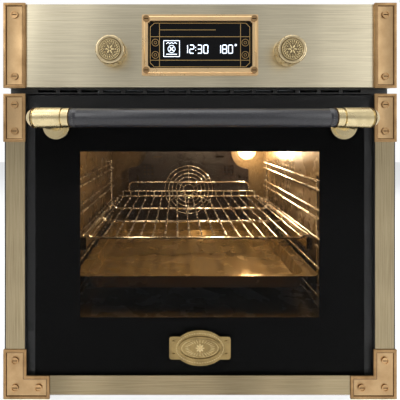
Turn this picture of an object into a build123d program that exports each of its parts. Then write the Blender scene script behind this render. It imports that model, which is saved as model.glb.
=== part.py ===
# Built-in electric oven in an old-fashioned brass and bronze finish.
# X runs to the right as the user sees the oven, the front faces -Y, +Y goes into the cabinet
# and Z is up. The origin is under the middle of the casing, at the rear face of the front flange.

import os
from math import atan2, cos, pi, radians, sin

from build123d import *

os.makedirs("parts", exist_ok=True)

# Driving dimensions of the front, in millimetres
front_width = 595.0
front_y = -22.0
flange_thickness = 1.5
sheet = 1.5
door_bottom = 2.0
door_height = 462.0
band_height = 10.0
fascia_height = 126.0
plate_width = 33.5
plate_proud = 3.0
trim_proud = 1.5
side_by_side_gap = 0.5

# Casing and cavity
casing_width = 556.0
casing_depth = 548.0
casing_top_drop = 12.0
cavity_width = 470.0
cavity_bottom = 88.0
cavity_height = 340.0
cavity_depth = 500.0
insulation_thickness = 17.0

# Clearances
running_clearance = 0.05
moving_gap = 0.3
seal_gap = 0.3

# Derived levels and half widths
half_front = front_width / 2
half_casing = casing_width / 2
half_cavity = cavity_width / 2
door_top = door_bottom + door_height
fascia_bottom = door_top + band_height
fascia_top = fascia_bottom + fascia_height
casing_height = fascia_top - casing_top_drop
cavity_top = cavity_bottom + cavity_height
plate_inner = half_front - plate_width
face_plane = front_y - plate_proud


def front_plane(y):
    """A sketch plane facing the user at depth y: local x is X, local y is Z."""
    return Plane(origin=(0, y, 0), x_dir=(1, 0, 0), z_dir=(0, -1, 0))


def side_plane(x):
    """A sketch plane facing +X: local x is Y, local y is Z."""
    return Plane(origin=(x, 0, 0), x_dir=(0, 1, 0), z_dir=(1, 0, 0))


def block(x_span, y_span, z_span, mode=Mode.ADD):
    """A box between two values of each axis, added to the open part."""
    spans = [sorted(span) for span in (x_span, y_span, z_span)]
    with Locations(tuple((low + high) / 2 for low, high in spans)):
        Box(*(high - low for low, high in spans), mode=mode)


def wire_along(points, radius, bend):
    """A round wire along a bent path, added to the open part."""
    with BuildLine() as route:
        FilletPolyline(*points, radius=bend)
    path = route.wires()[0]
    with BuildSketch(Plane(origin=path.position_at(0), z_dir=path.tangent_at(0))) as section:
        Circle(radius)
    sweep(section.sketch, path=path)


def straight_wire(start, end, radius, mode=Mode.ADD):
    """A straight round bar between two points, added to the open part."""
    run = Vector(*end) - Vector(*start)
    with BuildSketch(Plane(origin=start, z_dir=run)) as section:
        Circle(radius)
    extrude(section.sketch, amount=run.length, mode=mode)


def dome_middle(edge, radius, tip):
    """The middle of a dome's arc, as a place along its axis and a radius, centred on the axis."""
    centre = (tip**2 - edge**2 - radius**2) / (2 * (tip - edge))
    ball = abs(tip - centre)
    at_tip = 0 if tip > centre else pi
    middle = (atan2(radius, edge - centre) + at_tip) / 2
    return centre + ball * cos(middle), ball * sin(middle)


def slotted_screw(x, z, seat_y, radius, thickness, slot):
    """A flat slotted screw head that faces the user, with a beaded rim."""
    with BuildSketch(front_plane(seat_y)) as head:
        with Locations((x, z)):
            Circle(radius)
    extrude(head.sketch, amount=thickness)
    with BuildSketch(front_plane(seat_y - thickness)) as rim:
        with Locations((x, z)):
            Circle(radius)
            Circle(radius * 0.74, mode=Mode.SUBTRACT)
    extrude(rim.sketch, amount=slot / 2)
    with Locations((x, seat_y - thickness, z)):
        Box(radius * 1.3, slot, slot, mode=Mode.SUBTRACT)


def finish(part, label):
    """Names a finished piece and writes it."""
    part.label = label
    export_step(part, f"parts/{label}.step")


# Front frame: the flange sheet that closes the casing and carries the seal
hinge_inset = 53.5
hinge_x = half_front - hinge_inset
hinge_y = -13.0
hinge_z = 9.0
hinge_slot = 3.0
flange_hole_radius = 2.25
flange_hole_x = half_front - 9.5
flange_hole_bottom = 90.0
flange_hole_spacing = 400.0
mouth_corner = 12.0
arm_thickness = 3.0
arm_height = 9.4
plunger_x = 200.0
plunger_radius = 3.0
plunger_z = door_top - 12
hem_thickness = 1.5
hem_gap = 1.5
hem_width = half_front - half_casing - hem_gap

with BuildPart() as front_frame:
    with BuildSketch(front_plane(0)):
        with Locations((0, fascia_top / 2)):
            Rectangle(front_width, fascia_top)
        with Locations((0, cavity_bottom + cavity_height / 2)):
            RectangleRounded(cavity_width, cavity_height, mouth_corner, mode=Mode.SUBTRACT)
        with Locations((0, (fascia_bottom + fascia_top) / 2)):
            Rectangle(casing_width - 40, fascia_height - 20, mode=Mode.SUBTRACT)
        with Locations((0, door_top + band_height / 2)):
            Rectangle(casing_width - 40, band_height - 2, mode=Mode.SUBTRACT)
        with Locations((hinge_x, hinge_z), (-hinge_x, hinge_z)):
            Rectangle(arm_thickness + hinge_slot, arm_height + hinge_slot, mode=Mode.SUBTRACT)
        with Locations((0, flange_hole_bottom + flange_hole_spacing / 2)):
            with GridLocations(2 * flange_hole_x, flange_hole_spacing, 2, 2):
                Circle(flange_hole_radius, mode=Mode.SUBTRACT)
        with Locations((plunger_x, plunger_z)):
            Circle(plunger_radius + running_clearance, mode=Mode.SUBTRACT)
    extrude(amount=flange_thickness)
    with BuildSketch(front_plane(hem_thickness)):
        with Locations((0, fascia_top / 2)):
            with GridLocations(2 * half_front - hem_width, 0, 2, 1):
                Rectangle(hem_width, fascia_top)
        with Locations((0, flange_hole_bottom + flange_hole_spacing / 2)):
            with GridLocations(2 * flange_hole_x, flange_hole_spacing, 2, 2):
                Circle(flange_hole_radius, mode=Mode.SUBTRACT)
    extrude(amount=hem_thickness)
finish(front_frame.part, "front_frame")

# Casing sheets
with BuildPart() as base_plate:
    block((-half_casing, half_casing), (0, casing_depth), (0, sheet))
finish(base_plate.part, "base_plate")

rib_height = 18.0
rib_depth = 3.0
with BuildPart() as side_panels:
    for side in (-1, 1):
        outer_face = side * half_casing
        block((outer_face, outer_face - side * sheet), (0, casing_depth), (sheet, casing_height - sheet))
        for rib_z in (casing_height * 0.3, casing_height * 0.7):
            with BuildSketch(side_plane(outer_face - side * sheet / 2)):
                with Locations((casing_depth / 2, rib_z)):
                    SlotOverall(casing_depth * 0.7, rib_height)
            extrude(amount=-side * rib_depth)
finish(side_panels.part, "side_panels")

vent_slots = 14
vent_slot_length = 22.0
vent_slot_height = 3.0
terminal_x = 190.0
terminal_z = 70.0
with BuildPart() as rear_panel:
    block(
        (-half_casing + sheet, half_casing - sheet),
        (casing_depth - sheet, casing_depth),
        (sheet, casing_height - sheet),
    )
    with BuildSketch(front_plane(casing_depth)):
        with Locations((0, casing_height * 0.78)):
            with GridLocations(32, 9, vent_slots, 4):
                SlotOverall(vent_slot_length, vent_slot_height)
        with Locations((terminal_x, terminal_z)):
            Rectangle(60, 34)
    extrude(amount=sheet, mode=Mode.SUBTRACT)
finish(rear_panel.part, "rear_panel")

with BuildPart() as top_cover:
    block((-half_casing, half_casing), (0, casing_depth), (casing_height - sheet, casing_height))
    with BuildSketch(Plane.XY.offset(casing_height)):
        with Locations((0, casing_depth * 0.82)):
            with GridLocations(28, 14, 12, 3):
                SlotOverall(20, vent_slot_height)
    extrude(amount=-sheet, mode=Mode.SUBTRACT)
finish(top_cover.part, "top_cover")

casing_screw_radius = 4.0
casing_screw_height = 2.4
with BuildPart() as casing_screws:
    for y in (30, casing_depth / 2, casing_depth - 30):
        with Locations((half_casing - 12, y), (-half_casing + 12, y)):
            with Locations((0, 0, casing_height + casing_screw_height / 2)):
                Cylinder(casing_screw_radius, casing_screw_height)
    slot_plane = Plane.XY.offset(casing_height + casing_screw_height)
    for y in (30, casing_depth / 2, casing_depth - 30):
        with BuildSketch(slot_plane):
            with Locations((half_casing - 12, y), (-half_casing + 12, y)):
                Rectangle(1.0, 5.0)
                Rectangle(5.0, 1.0)
        extrude(amount=-1.2, mode=Mode.SUBTRACT)
finish(casing_screws.part, "casing_screws")

# Cavity: enamelled liner and the mat round it
fan_z = 234.0
fan_hole_radius = 12.0
lamp_x = 181.0
lamp_z = 349.0
lamp_hole_radius = 24.0
element_hole_radius = 5.0
grill_leg_x = 40.0
grill_z = cavity_top - 16
ring_leg_angle = 12.0
ring_radius = 92.0
probe_x = -120.0
probe_z = cavity_top - 38
back_y = cavity_depth
ring_leg_points = [
    (sign * ring_radius * sin(radians(ring_leg_angle)),
     fan_z - ring_radius * cos(radians(ring_leg_angle)))
    for sign in (-1, 1)
]
with BuildPart() as cavity_liner:
    liner_top = cavity_top + sheet
    block(
        (-half_cavity - sheet, half_cavity + sheet),
        (0, back_y + sheet),
        (cavity_bottom - sheet, liner_top),
    )
    block(
        (-half_cavity - 12, half_cavity + 12), (0, sheet), (cavity_bottom - 12, cavity_top + 12)
    )
    with BuildSketch(front_plane(0)):
        with Locations((0, cavity_bottom + cavity_height / 2)):
            RectangleRounded(cavity_width, cavity_height, mouth_corner)
    extrude(amount=-back_y, mode=Mode.SUBTRACT)
    with BuildSketch(front_plane(back_y + sheet)):
        with Locations((0, fan_z)):
            Circle(fan_hole_radius)
        with Locations((lamp_x, lamp_z)):
            Circle(lamp_hole_radius)
        with Locations(*ring_leg_points, (-grill_leg_x, grill_z), (grill_leg_x, grill_z)):
            Circle(element_hole_radius)
        with Locations((probe_x, probe_z)):
            Circle(3.3)
    extrude(amount=sheet, mode=Mode.SUBTRACT)
finish(cavity_liner.part, "cavity_liner")

mat_in = half_cavity + sheet
mat_front = 20.0
mat_back = back_y + sheet + insulation_thickness
bottom_element_z = cavity_bottom - sheet - 8
with BuildPart() as cavity_insulation:
    block(
        (-mat_in - insulation_thickness, mat_in + insulation_thickness),
        (mat_front, mat_back),
        (bottom_element_z - 8 - insulation_thickness, cavity_top + sheet + insulation_thickness),
    )
    block((-mat_in, mat_in), (mat_front, back_y + sheet), (bottom_element_z - 8, cavity_top + sheet),
          mode=Mode.SUBTRACT)
    block((-75, 75), (back_y, mat_back), (fan_z - 75, fan_z + 75), mode=Mode.SUBTRACT)
    block((-75, 75), (back_y, mat_back), (fan_z - 110, fan_z - 70), mode=Mode.SUBTRACT)
    block((lamp_x - 30, lamp_x + 30), (back_y, mat_back), (lamp_z - 30, lamp_z + 30),
          mode=Mode.SUBTRACT)
    block((-70, 70), (back_y, mat_back), (grill_z - 14, grill_z + 14), mode=Mode.SUBTRACT)
    block((probe_x - 8, probe_x + 8), (back_y, mat_back), (probe_z - 8, probe_z + 8),
          mode=Mode.SUBTRACT)
    block((-30, 30), (back_y, mat_back), (bottom_element_z - 8, cavity_bottom + 2),
          mode=Mode.SUBTRACT)
finish(cavity_insulation.part, "cavity_insulation")

# Fan baffle: enamelled cover with an embossed ring and curved slots
baffle_half = 179.0
baffle_front = 462.0
baffle_sheet = 1.5
baffle_bottom = cavity_bottom + 10
baffle_top = lamp_z + 3
baffle_cut = 54.0
ring_emboss = 85.0
with BuildPart() as fan_baffle:
    with BuildSketch(front_plane(back_y)) as baffle_outline:
        with Locations((0, (baffle_bottom + baffle_top) / 2)):
            RectangleRounded(2 * baffle_half, baffle_top - baffle_bottom, 8)
        with Locations((lamp_x, lamp_z), (-lamp_x, lamp_z)):
            Circle(baffle_cut, mode=Mode.SUBTRACT)
    extrude(amount=back_y - baffle_front)
    with BuildSketch(front_plane(back_y)):
        offset(baffle_outline.sketch, amount=-baffle_sheet)
    extrude(amount=back_y - baffle_front - baffle_sheet, mode=Mode.SUBTRACT)
    with BuildSketch(front_plane(baffle_front)):
        with Locations((0, fan_z)):
            Circle(ring_emboss)
            Circle(ring_emboss - 7, mode=Mode.SUBTRACT)
    extrude(amount=2.5)
    with BuildSketch(front_plane(baffle_front)):
        for slot_radius, slot_count in ((22, 6), (38, 10), (54, 14)):
            for turn in range(slot_count):
                start = 360 * turn / slot_count + slot_radius
                span = 360 / slot_count * 0.72
                with Locations((0, fan_z)):
                    SlotArc(CenterArc((0, 0), slot_radius, start, span, mode=Mode.PRIVATE), 7)
        for side in (-1, 1):
            with Locations((side * 120, fan_z + 58)):
                with GridLocations(11.5, 11.5, 3, 3):
                    Rectangle(6, 6)
            with Locations((side * 93, fan_z + 98)):
                SlotOverall(26, 5)
            with Locations((side * 152, fan_z + 26), (side * 152, fan_z - 60)):
                SlotOverall(34, 7, rotation=90)
    extrude(amount=-baffle_sheet, mode=Mode.SUBTRACT)
finish(fan_baffle.part, "fan_baffle")

# Hot-air fan on its shaft, its motor and the ring element
fan_radius = 70.0
fan_hub_radius = 12.0
shaft_radius = 4.0
fan_back = back_y - 6
fan_front = fan_back - 24
motor_front = back_y + sheet
motor_back = casing_depth - sheet - 4
shaft_back = motor_back - 6
with BuildPart() as convection_fan:
    with BuildSketch(front_plane(fan_back)):
        with Locations((0, fan_z)):
            Circle(fan_radius)
    extrude(amount=sheet)
    with BuildSketch(front_plane(fan_back)):
        with Locations((0, fan_z)):
            Circle(fan_hub_radius)
    extrude(amount=fan_back - fan_front + 4)
    with BuildSketch(front_plane(fan_back - sheet)):
        with Locations((0, fan_z)):
            with PolarLocations(fan_radius * 0.68, 20):
                Rectangle(fan_radius * 0.6, 1.6, rotation=24)
    extrude(amount=fan_back - sheet - fan_front)
    straight_wire((0, fan_back, fan_z), (0, shaft_back, fan_z), shaft_radius)
finish(convection_fan.part, "convection_fan")

with BuildPart() as convection_motor:
    with BuildSketch(front_plane(motor_back)):
        with Locations((0, fan_z)):
            Circle(34)
    extrude(amount=motor_back - motor_front - 6)
    with BuildSketch(front_plane(motor_front + 6)):
        with Locations((0, fan_z)):
            RectangleRounded(136, 44, 8)
            with GridLocations(116, 0, 2, 1):
                Circle(3, mode=Mode.SUBTRACT)
    extrude(amount=2)
    with BuildSketch(front_plane(motor_front + 6)):
        with Locations((-60, fan_z), (60, fan_z)):
            with GridLocations(0, 30, 1, 2):
                Circle(4)
    extrude(amount=6)
    with BuildSketch(front_plane(motor_back - 3)):
        with Locations((0, fan_z)):
            Circle(shaft_radius + running_clearance)
    extrude(amount=motor_back - motor_front, mode=Mode.SUBTRACT)
finish(convection_motor.part, "convection_motor")

element_radius = 3.5
ring_y = (fan_front + fan_back) / 2
with BuildPart() as ring_heater:
    start_angle = -90 + ring_leg_angle
    ring_plane = Plane(origin=(0, ring_y, fan_z), x_dir=(1, 0, 0), z_dir=(0, -1, 0))
    with BuildLine(ring_plane) as ring_route:
        CenterArc((0, 0, 0), ring_radius, start_angle, 360 - 2 * ring_leg_angle)
    ring_path = ring_route.wires()[0]
    with BuildSketch(Plane(origin=ring_path.position_at(0), z_dir=ring_path.tangent_at(0))):
        Circle(element_radius)
    sweep(path=ring_path)
    for x, z in ring_leg_points:
        straight_wire((x, ring_y, z), (x, back_y + sheet + 24, z), element_radius)
        straight_wire(
            (x, back_y + sheet, z), (x, back_y + sheet + 4, z), element_hole_radius + 2
        )
        with Locations((x, ring_y, z)):
            Sphere(element_radius)
finish(ring_heater.part, "ring_heater")

heater_half = half_cavity - 65
heater_front = 90.0
grill_back = cavity_depth - 70
grill_bay = 60.0
grill_bay_back = cavity_depth - 150
with BuildPart() as grill_element:
    grill_points = [(grill_leg_x, back_y + sheet + 24, grill_z), (grill_leg_x, grill_back, grill_z)]
    grill_points += [(heater_half, grill_back, grill_z), (heater_half, heater_front, grill_z)]
    grill_points += [(grill_bay, heater_front, grill_z), (grill_bay, grill_bay_back, grill_z)]
    grill_points += [(-grill_bay, grill_bay_back, grill_z), (-grill_bay, heater_front, grill_z)]
    grill_points += [(-heater_half, heater_front, grill_z), (-heater_half, grill_back, grill_z)]
    grill_points += [(-grill_leg_x, grill_back, grill_z)]
    grill_points += [(-grill_leg_x, back_y + sheet + 24, grill_z)]
    wire_along(grill_points, element_radius, 20)
    for x in (-grill_bay, grill_bay):
        for y in (heater_front + 60, grill_bay_back - 50):
            straight_wire((x, y, grill_z), (x, y, cavity_top), 2.0)
finish(grill_element.part, "grill_element")

bottom_leg_x = 14.0
bottom_back = cavity_depth - 80
with BuildPart() as bottom_element:
    level = bottom_element_z
    heater_points = [(bottom_leg_x, back_y + sheet + 24, level), (bottom_leg_x, bottom_back, level)]
    heater_points += [(heater_half, bottom_back, level), (heater_half, heater_front, level)]
    heater_points += [(-heater_half, heater_front, level), (-heater_half, bottom_back, level)]
    heater_points += [(-bottom_leg_x, bottom_back, level)]
    heater_points += [(-bottom_leg_x, back_y + sheet + 24, level)]
    wire_along(heater_points, element_radius, 12)
    for x in (-heater_half, heater_half):
        for y in (heater_front + 60, bottom_back - 60):
            straight_wire((x, y, level), (x, y, cavity_bottom - sheet), 2.0)
finish(bottom_element.part, "bottom_element")

# Cavity lamp: a socket behind the wall, a bulb and a glass lens
lens_radius = 29.0
lens_bulge = 17.5
lens_wall = 3.5
with BuildPart() as lamp_socket:
    with BuildSketch(front_plane(back_y + sheet + 32)):
        with Locations((lamp_x, lamp_z)):
            Circle(lamp_hole_radius - 0.5)
    extrude(amount=32 + sheet)
    with BuildSketch(front_plane(back_y)):
        with Locations((lamp_x, lamp_z)):
            Circle(20)
    extrude(amount=-29, mode=Mode.SUBTRACT)
    with BuildSketch(front_plane(back_y + sheet + 2)):
        with Locations((lamp_x, lamp_z)):
            Circle(28)
            Circle(lamp_hole_radius - 1, mode=Mode.SUBTRACT)
    extrude(amount=2)
finish(lamp_socket.part, "lamp_socket")

with BuildPart() as lamp_bulb:
    straight_wire((lamp_x, back_y + 29, lamp_z), (lamp_x, back_y + 16, lamp_z), 7)
    with Locations((lamp_x, back_y + 8, lamp_z)):
        Sphere(11)
finish(lamp_bulb.part, "lamp_bulb")

inner_middle = dome_middle(-3, lens_radius - 4, -lens_bulge + lens_wall)
outer_middle = dome_middle(-4, lens_radius, -lens_bulge)
with BuildPart() as lamp_lens:
    lens_axis = Plane(origin=(lamp_x, back_y, lamp_z), x_dir=(1, 0, 0), z_dir=(0, 0, 1))
    with BuildSketch(lens_axis):
        with BuildLine():
            ThreePointArc((0, -lens_bulge + lens_wall), inner_middle[::-1], (lens_radius - 4, -3))
            Polyline((lens_radius - 4, -3), (lens_radius - 4, 0), (lens_radius, 0), (lens_radius, -4))
            ThreePointArc((lens_radius, -4), outer_middle[::-1], (0, -lens_bulge))
            Line((0, -lens_bulge), (0, -lens_bulge + lens_wall))
        make_face()
    revolve(axis=Axis((lamp_x, 0, lamp_z), (0, 1, 0)))
finish(lamp_lens.part, "lamp_lens")

with BuildPart() as temperature_probe:
    straight_wire((probe_x, back_y + 20, probe_z), (probe_x, back_y - 60, probe_z), 3.0)
    straight_wire((probe_x, back_y + 20, probe_z), (probe_x, back_y + sheet, probe_z), 6.0)
finish(temperature_probe.part, "temperature_probe")

# Side ladders: bent wire frames with five pairs of rungs
ladder_wire = 2.0
rung_x = 219.0
post_x = 223.0
level_pitch = 52.0
first_level = 102.0
level_count = 5
pair_half = 7.8
ladder_front = 62.0
ladder_back = 440.0
rungs = [
    first_level + level_pitch * level + sign * pair_half
    for level in range(level_count)
    for sign in (-1, 1)
]
with BuildPart() as side_ladders:
    for side in (-1, 1):
        for z in rungs:
            straight_wire((side * rung_x, ladder_front, z), (side * rung_x, ladder_back, z), ladder_wire)
            for y in (ladder_front, ladder_back):
                with Locations((side * rung_x, y, z)):
                    Sphere(ladder_wire)
        for y in (ladder_front + 18, ladder_back - 18):
            straight_wire(
                (side * post_x, y, rungs[0] - 4), (side * post_x, y, rungs[-1] + 8), 2.5
            )
            for z in (rungs[0] + 8, rungs[-1] + 4):
                straight_wire((side * post_x, y, z), (side * half_cavity, y, z), 3.0)
finish(side_ladders.part, "side_ladders")

# Telescopic runners at the third level
runner_z = first_level + 2 * level_pitch
runner_half_height = 9.0
runner_front = 70.0
runner_back = 436.0
outer_x = (206.5, 212.0)
inner_x = (199.0, 204.6)
guide_half = 4.0
with BuildPart() as runner_outer_rails:
    for side in (-1, 1):
        x_span = sorted((side * outer_x[0], side * outer_x[1]))
        z_span = (runner_z - runner_half_height, runner_z + runner_half_height)
        block(x_span, (runner_front + 4, runner_back), z_span)
        guide = sorted((side * (outer_x[0]), side * (inner_x[1] - 2.5)))
        block(guide, (runner_front + 8, runner_back), (runner_z - guide_half, runner_z + guide_half))
        for y in (ladder_front + 50, ladder_back - 50):
            clip = sorted((side * outer_x[1], side * (rung_x - ladder_wire)))
            block(clip, (y, y + 14), (runner_z - 10, runner_z + 10))
finish(runner_outer_rails.part, "runner_outer_rails")

with BuildPart() as runner_inner_rails:
    for side in (-1, 1):
        x_span = sorted((side * inner_x[0], side * inner_x[1]))
        z_span = (runner_z - runner_half_height, runner_z + runner_half_height)
        block(x_span, (runner_front + 2, runner_back - 6), z_span)
        groove = sorted((side * inner_x[1], side * (inner_x[1] - 2.5 - moving_gap)))
        groove_z = (runner_z - guide_half - moving_gap, runner_z + guide_half + moving_gap)
        block(groove, (runner_front + 8 - moving_gap, runner_back), groove_z, mode=Mode.SUBTRACT)
        cap = sorted((side * (inner_x[0] - 1.5), side * (outer_x[1] - 1)))
        block(cap, (runner_front - 2, runner_front + 2), (runner_z - 11, runner_z + 11))
        straight_wire(
            (side * (inner_x[0] + 5), runner_front - 2, runner_z),
            (side * (inner_x[0] + 5), runner_front + 1, runner_z),
            3.0,
            mode=Mode.SUBTRACT,
        )
finish(runner_inner_rails.part, "runner_inner_rails")

# Wire rack on the runners
cross_radius = 1.75
frame_radius = 2.5
brace_radius = 2.2
rack_z = 213.5
rack_rail_x = 205.0
rack_rail_z = runner_z + runner_half_height + frame_radius
rack_front = 76.0
rack_back = 448.0
rack_wires = 18
rack_pitch = 22.75
rack_upstand = 19.0
guard_half = 176.0
guard_height = 26.0
guard_base = rack_z + rack_upstand
rack_well = inner_x[0] - 1.5 - frame_radius - 2
with BuildPart() as wire_rack:
    for side in (-1, 1):
        straight_wire(
            (side * rack_rail_x, rack_front, rack_rail_z),
            (side * rack_rail_x, rack_back, rack_rail_z),
            frame_radius,
        )
    for y in (rack_front, 200.0, 324.0):
        drop = 0.85 * (frame_radius + cross_radius) if y > rack_front else 0
        wire_along(
            [(-rack_rail_x, y, rack_rail_z), (-rack_well - 3, y, rack_rail_z),
             (-rack_well + 4, y, rack_z - drop), (rack_well - 4, y, rack_z - drop),
             (rack_well + 3, y, rack_rail_z), (rack_rail_x, y, rack_rail_z)],
            brace_radius,
            3,
        )
    straight_wire(
        (-rack_rail_x, rack_back, rack_rail_z), (rack_rail_x, rack_back, rack_rail_z), brace_radius
    )
    for side in (-1, 1):
        for y in (rack_front, rack_back):
            with Locations((side * rack_rail_x, y, rack_rail_z)):
                Sphere(frame_radius + 0.3)
    for wire in range(rack_wires):
        x = (wire - (rack_wires - 1) / 2) * rack_pitch
        wire_along(
            [(x, rack_front, rack_z), (x, rack_back - 12, rack_z),
             (x, rack_back, rack_rail_z), (x, rack_back, rack_z + rack_upstand)],
            cross_radius,
            4,
        )
    straight_wire(
        (-rack_well + 4, rack_back, rack_z + rack_upstand),
        (rack_well - 4, rack_back, rack_z + rack_upstand),
        brace_radius,
    )
    wire_along(
        [(-guard_half, rack_back, guard_base), (-guard_half, rack_back, guard_base + guard_height),
         (guard_half, rack_back, guard_base + guard_height), (guard_half, rack_back, guard_base)],
        frame_radius,
        14,
    )
finish(wire_rack.part, "wire_rack")

# Baking tray hanging between the rungs of the second level
tray_rim_z = first_level + level_pitch - pair_half + ladder_wire + moving_gap
tray_sheet = 1.2
tray_front = 63.0
tray_back = 440.0
tray_half = rung_x + 0.5
well_half = 200.0
tray_depth = 25.0
with BuildPart() as baking_tray:
    with BuildSketch(Plane.XY.offset(tray_rim_z)):
        with Locations((0, (tray_front + tray_back) / 2)):
            RectangleRounded(2 * tray_half, tray_back - tray_front, 14)
    extrude(amount=tray_sheet)
    with BuildSketch(Plane.XY.offset(tray_rim_z)):
        with Locations((0, (tray_front + tray_back) / 2)):
            RectangleRounded(2 * well_half, tray_back - tray_front - 16, 22)
    extrude(amount=-tray_depth, taper=12)
    with BuildSketch(Plane.XY.offset(tray_rim_z + tray_sheet)):
        with Locations((0, (tray_front + tray_back) / 2)):
            RectangleRounded(2 * (well_half - tray_sheet), tray_back - tray_front - 19, 21)
    extrude(amount=-tray_depth, taper=12, mode=Mode.SUBTRACT)
finish(baking_tray.part, "baking_tray")

# Seal round the cavity mouth
seal_inner = half_cavity + 3
seal_width = 9.0
seal_height = 3.2
with BuildPart() as door_seal:
    with BuildSketch(front_plane(-flange_thickness)):
        with Locations((0, cavity_bottom + cavity_height / 2)):
            RectangleRounded(
                2 * (seal_inner + seal_width),
                cavity_height + 6 + 2 * seal_width - 6,
                mouth_corner + seal_width,
            )
            RectangleRounded(2 * seal_inner, cavity_height + 2, mouth_corner, mode=Mode.SUBTRACT)
    extrude(amount=seal_height)
finish(door_seal.part, "door_seal")

# Cooling blower above the cavity, with the channel to the vent under the fascia
deck_z = cavity_top + sheet + insulation_thickness
channel_top = deck_z + 26
blower_y = 400.0
blower_radius = 68.0
channel_half = 160.0
with BuildPart() as blower_housing:
    block((-channel_half, channel_half), (0, blower_y + 100), (deck_z, channel_top))
    block(
        (-channel_half + sheet, channel_half - sheet),
        (0, blower_y + 100 - sheet),
        (deck_z + sheet, channel_top - sheet),
        mode=Mode.SUBTRACT,
    )
    with BuildSketch(Plane.XY.offset(channel_top)):
        with Locations((0, blower_y)):
            Circle(blower_radius + 6)
    extrude(amount=34)
    with BuildSketch(Plane.XY.offset(channel_top - sheet)):
        with Locations((0, blower_y)):
            Circle(blower_radius + 6 - sheet)
    extrude(amount=34, mode=Mode.SUBTRACT)
    with BuildSketch(Plane.XY.offset(channel_top + 34)):
        with Locations((0, blower_y)):
            Circle(44)
    extrude(amount=-sheet, mode=Mode.SUBTRACT)
    with Locations((0, blower_y, deck_z + sheet)):
        Cylinder(10, 8, align=(Align.CENTER, Align.CENTER, Align.MIN))
        Cylinder(shaft_radius + running_clearance, 8, mode=Mode.SUBTRACT,
                 align=(Align.CENTER, Align.CENTER, Align.MIN))
finish(blower_housing.part, "blower_housing")

impeller_bottom = channel_top + 3
impeller_height = 24.0
blower_shaft_top = channel_top + 46
with BuildPart() as blower_impeller:
    with BuildSketch(Plane.XY.offset(impeller_bottom)):
        with Locations((0, blower_y)):
            Circle(blower_radius)
    extrude(amount=sheet)
    with BuildSketch(Plane.XY.offset(impeller_bottom + sheet)):
        with Locations((0, blower_y)):
            with PolarLocations(blower_radius - 11, 26):
                Rectangle(18, 1.5, rotation=35)
    extrude(amount=impeller_height - sheet)
    straight_wire(
        (0, blower_y, deck_z + sheet + moving_gap), (0, blower_y, blower_shaft_top), shaft_radius
    )
    with BuildSketch(Plane.XY.offset(impeller_bottom)):
        with Locations((0, blower_y)):
            Circle(13)
    extrude(amount=impeller_height)
finish(blower_impeller.part, "blower_impeller")

with BuildPart() as blower_motor:
    motor_seat = channel_top + 34
    with BuildSketch(Plane.XY.offset(motor_seat + 3)):
        with Locations((0, blower_y)):
            Circle(30)
    extrude(amount=30)
    with BuildSketch(Plane.XY.offset(motor_seat)):
        with Locations((0, blower_y)):
            Rectangle(124, 16)
            Circle(14, mode=Mode.SUBTRACT)
    extrude(amount=3)
    with BuildSketch(Plane.XY.offset(motor_seat)):
        with Locations((0, blower_y)):
            Circle(shaft_radius + running_clearance)
    extrude(amount=14, mode=Mode.SUBTRACT)
finish(blower_motor.part, "blower_motor")

# Vent strip between the fascia and the door, where the cooling air leaves
vent_half = half_casing - 6
with BuildPart() as vent_strip:
    block((-vent_half, vent_half), (-8, -flange_thickness), (door_top + 1.5, fascia_bottom))
    with BuildSketch(front_plane(-flange_thickness)):
        with Locations((0, door_top + band_height / 2 + 0.5)):
            with GridLocations(34, 0, 15, 1):
                Rectangle(28, 4)
    extrude(amount=8, mode=Mode.SUBTRACT)
finish(vent_strip.part, "vent_strip")

# Fascia: a folded metal cover over the controls
knob_x = 132.0
knob_z = 525.6
display_z = 537.6
display_width = 157.0
display_height = 71.0
knob_shaft_radius = 3.0
fascia_back = -flange_thickness
with BuildPart() as control_panel:
    block((-half_front, half_front), (front_y, fascia_back), (fascia_bottom, fascia_top))
    block(
        (-half_front + sheet, half_front - sheet),
        (front_y + sheet, fascia_back),
        (fascia_bottom + sheet, fascia_top - sheet),
        mode=Mode.SUBTRACT,
    )
    with BuildSketch(front_plane(front_y + sheet)):
        with Locations((-knob_x, knob_z), (knob_x, knob_z)):
            Circle(knob_shaft_radius + 2)
        with Locations((0, display_z)):
            Rectangle(display_width - 8, display_height - 8)
    extrude(amount=sheet, mode=Mode.SUBTRACT)
finish(control_panel.part, "control_panel")

# Corner plates: a raised rim round a sunken field, and the slotted screws that hold them
plate_rim = 6.0
screw_radius = 5.5
screw_slot = 1.3
screw_head = 0.8
panel_screw_inset = 16.5
with BuildPart() as panel_corner_plates:
    for side in (-1, 1):
        plate_x = side * (half_front - plate_width / 2)
        with BuildSketch(front_plane(front_y)):
            with Locations((plate_x, (fascia_bottom + fascia_top) / 2)):
                RectangleRounded(plate_width, fascia_height + 2 * trim_proud, 1.5)
        extrude(amount=plate_proud)
        with BuildSketch(front_plane(face_plane)):
            with Locations((plate_x, (fascia_bottom + fascia_top) / 2)):
                RectangleRounded(
                    plate_width - 2 * plate_rim, fascia_height + 2 * trim_proud - 2 * plate_rim, 6
                )
        extrude(amount=-1.2, mode=Mode.SUBTRACT)
finish(panel_corner_plates.part, "panel_corner_plates")

panel_screw_x = half_front - plate_width / 2
field_y = face_plane + 1.2

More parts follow.
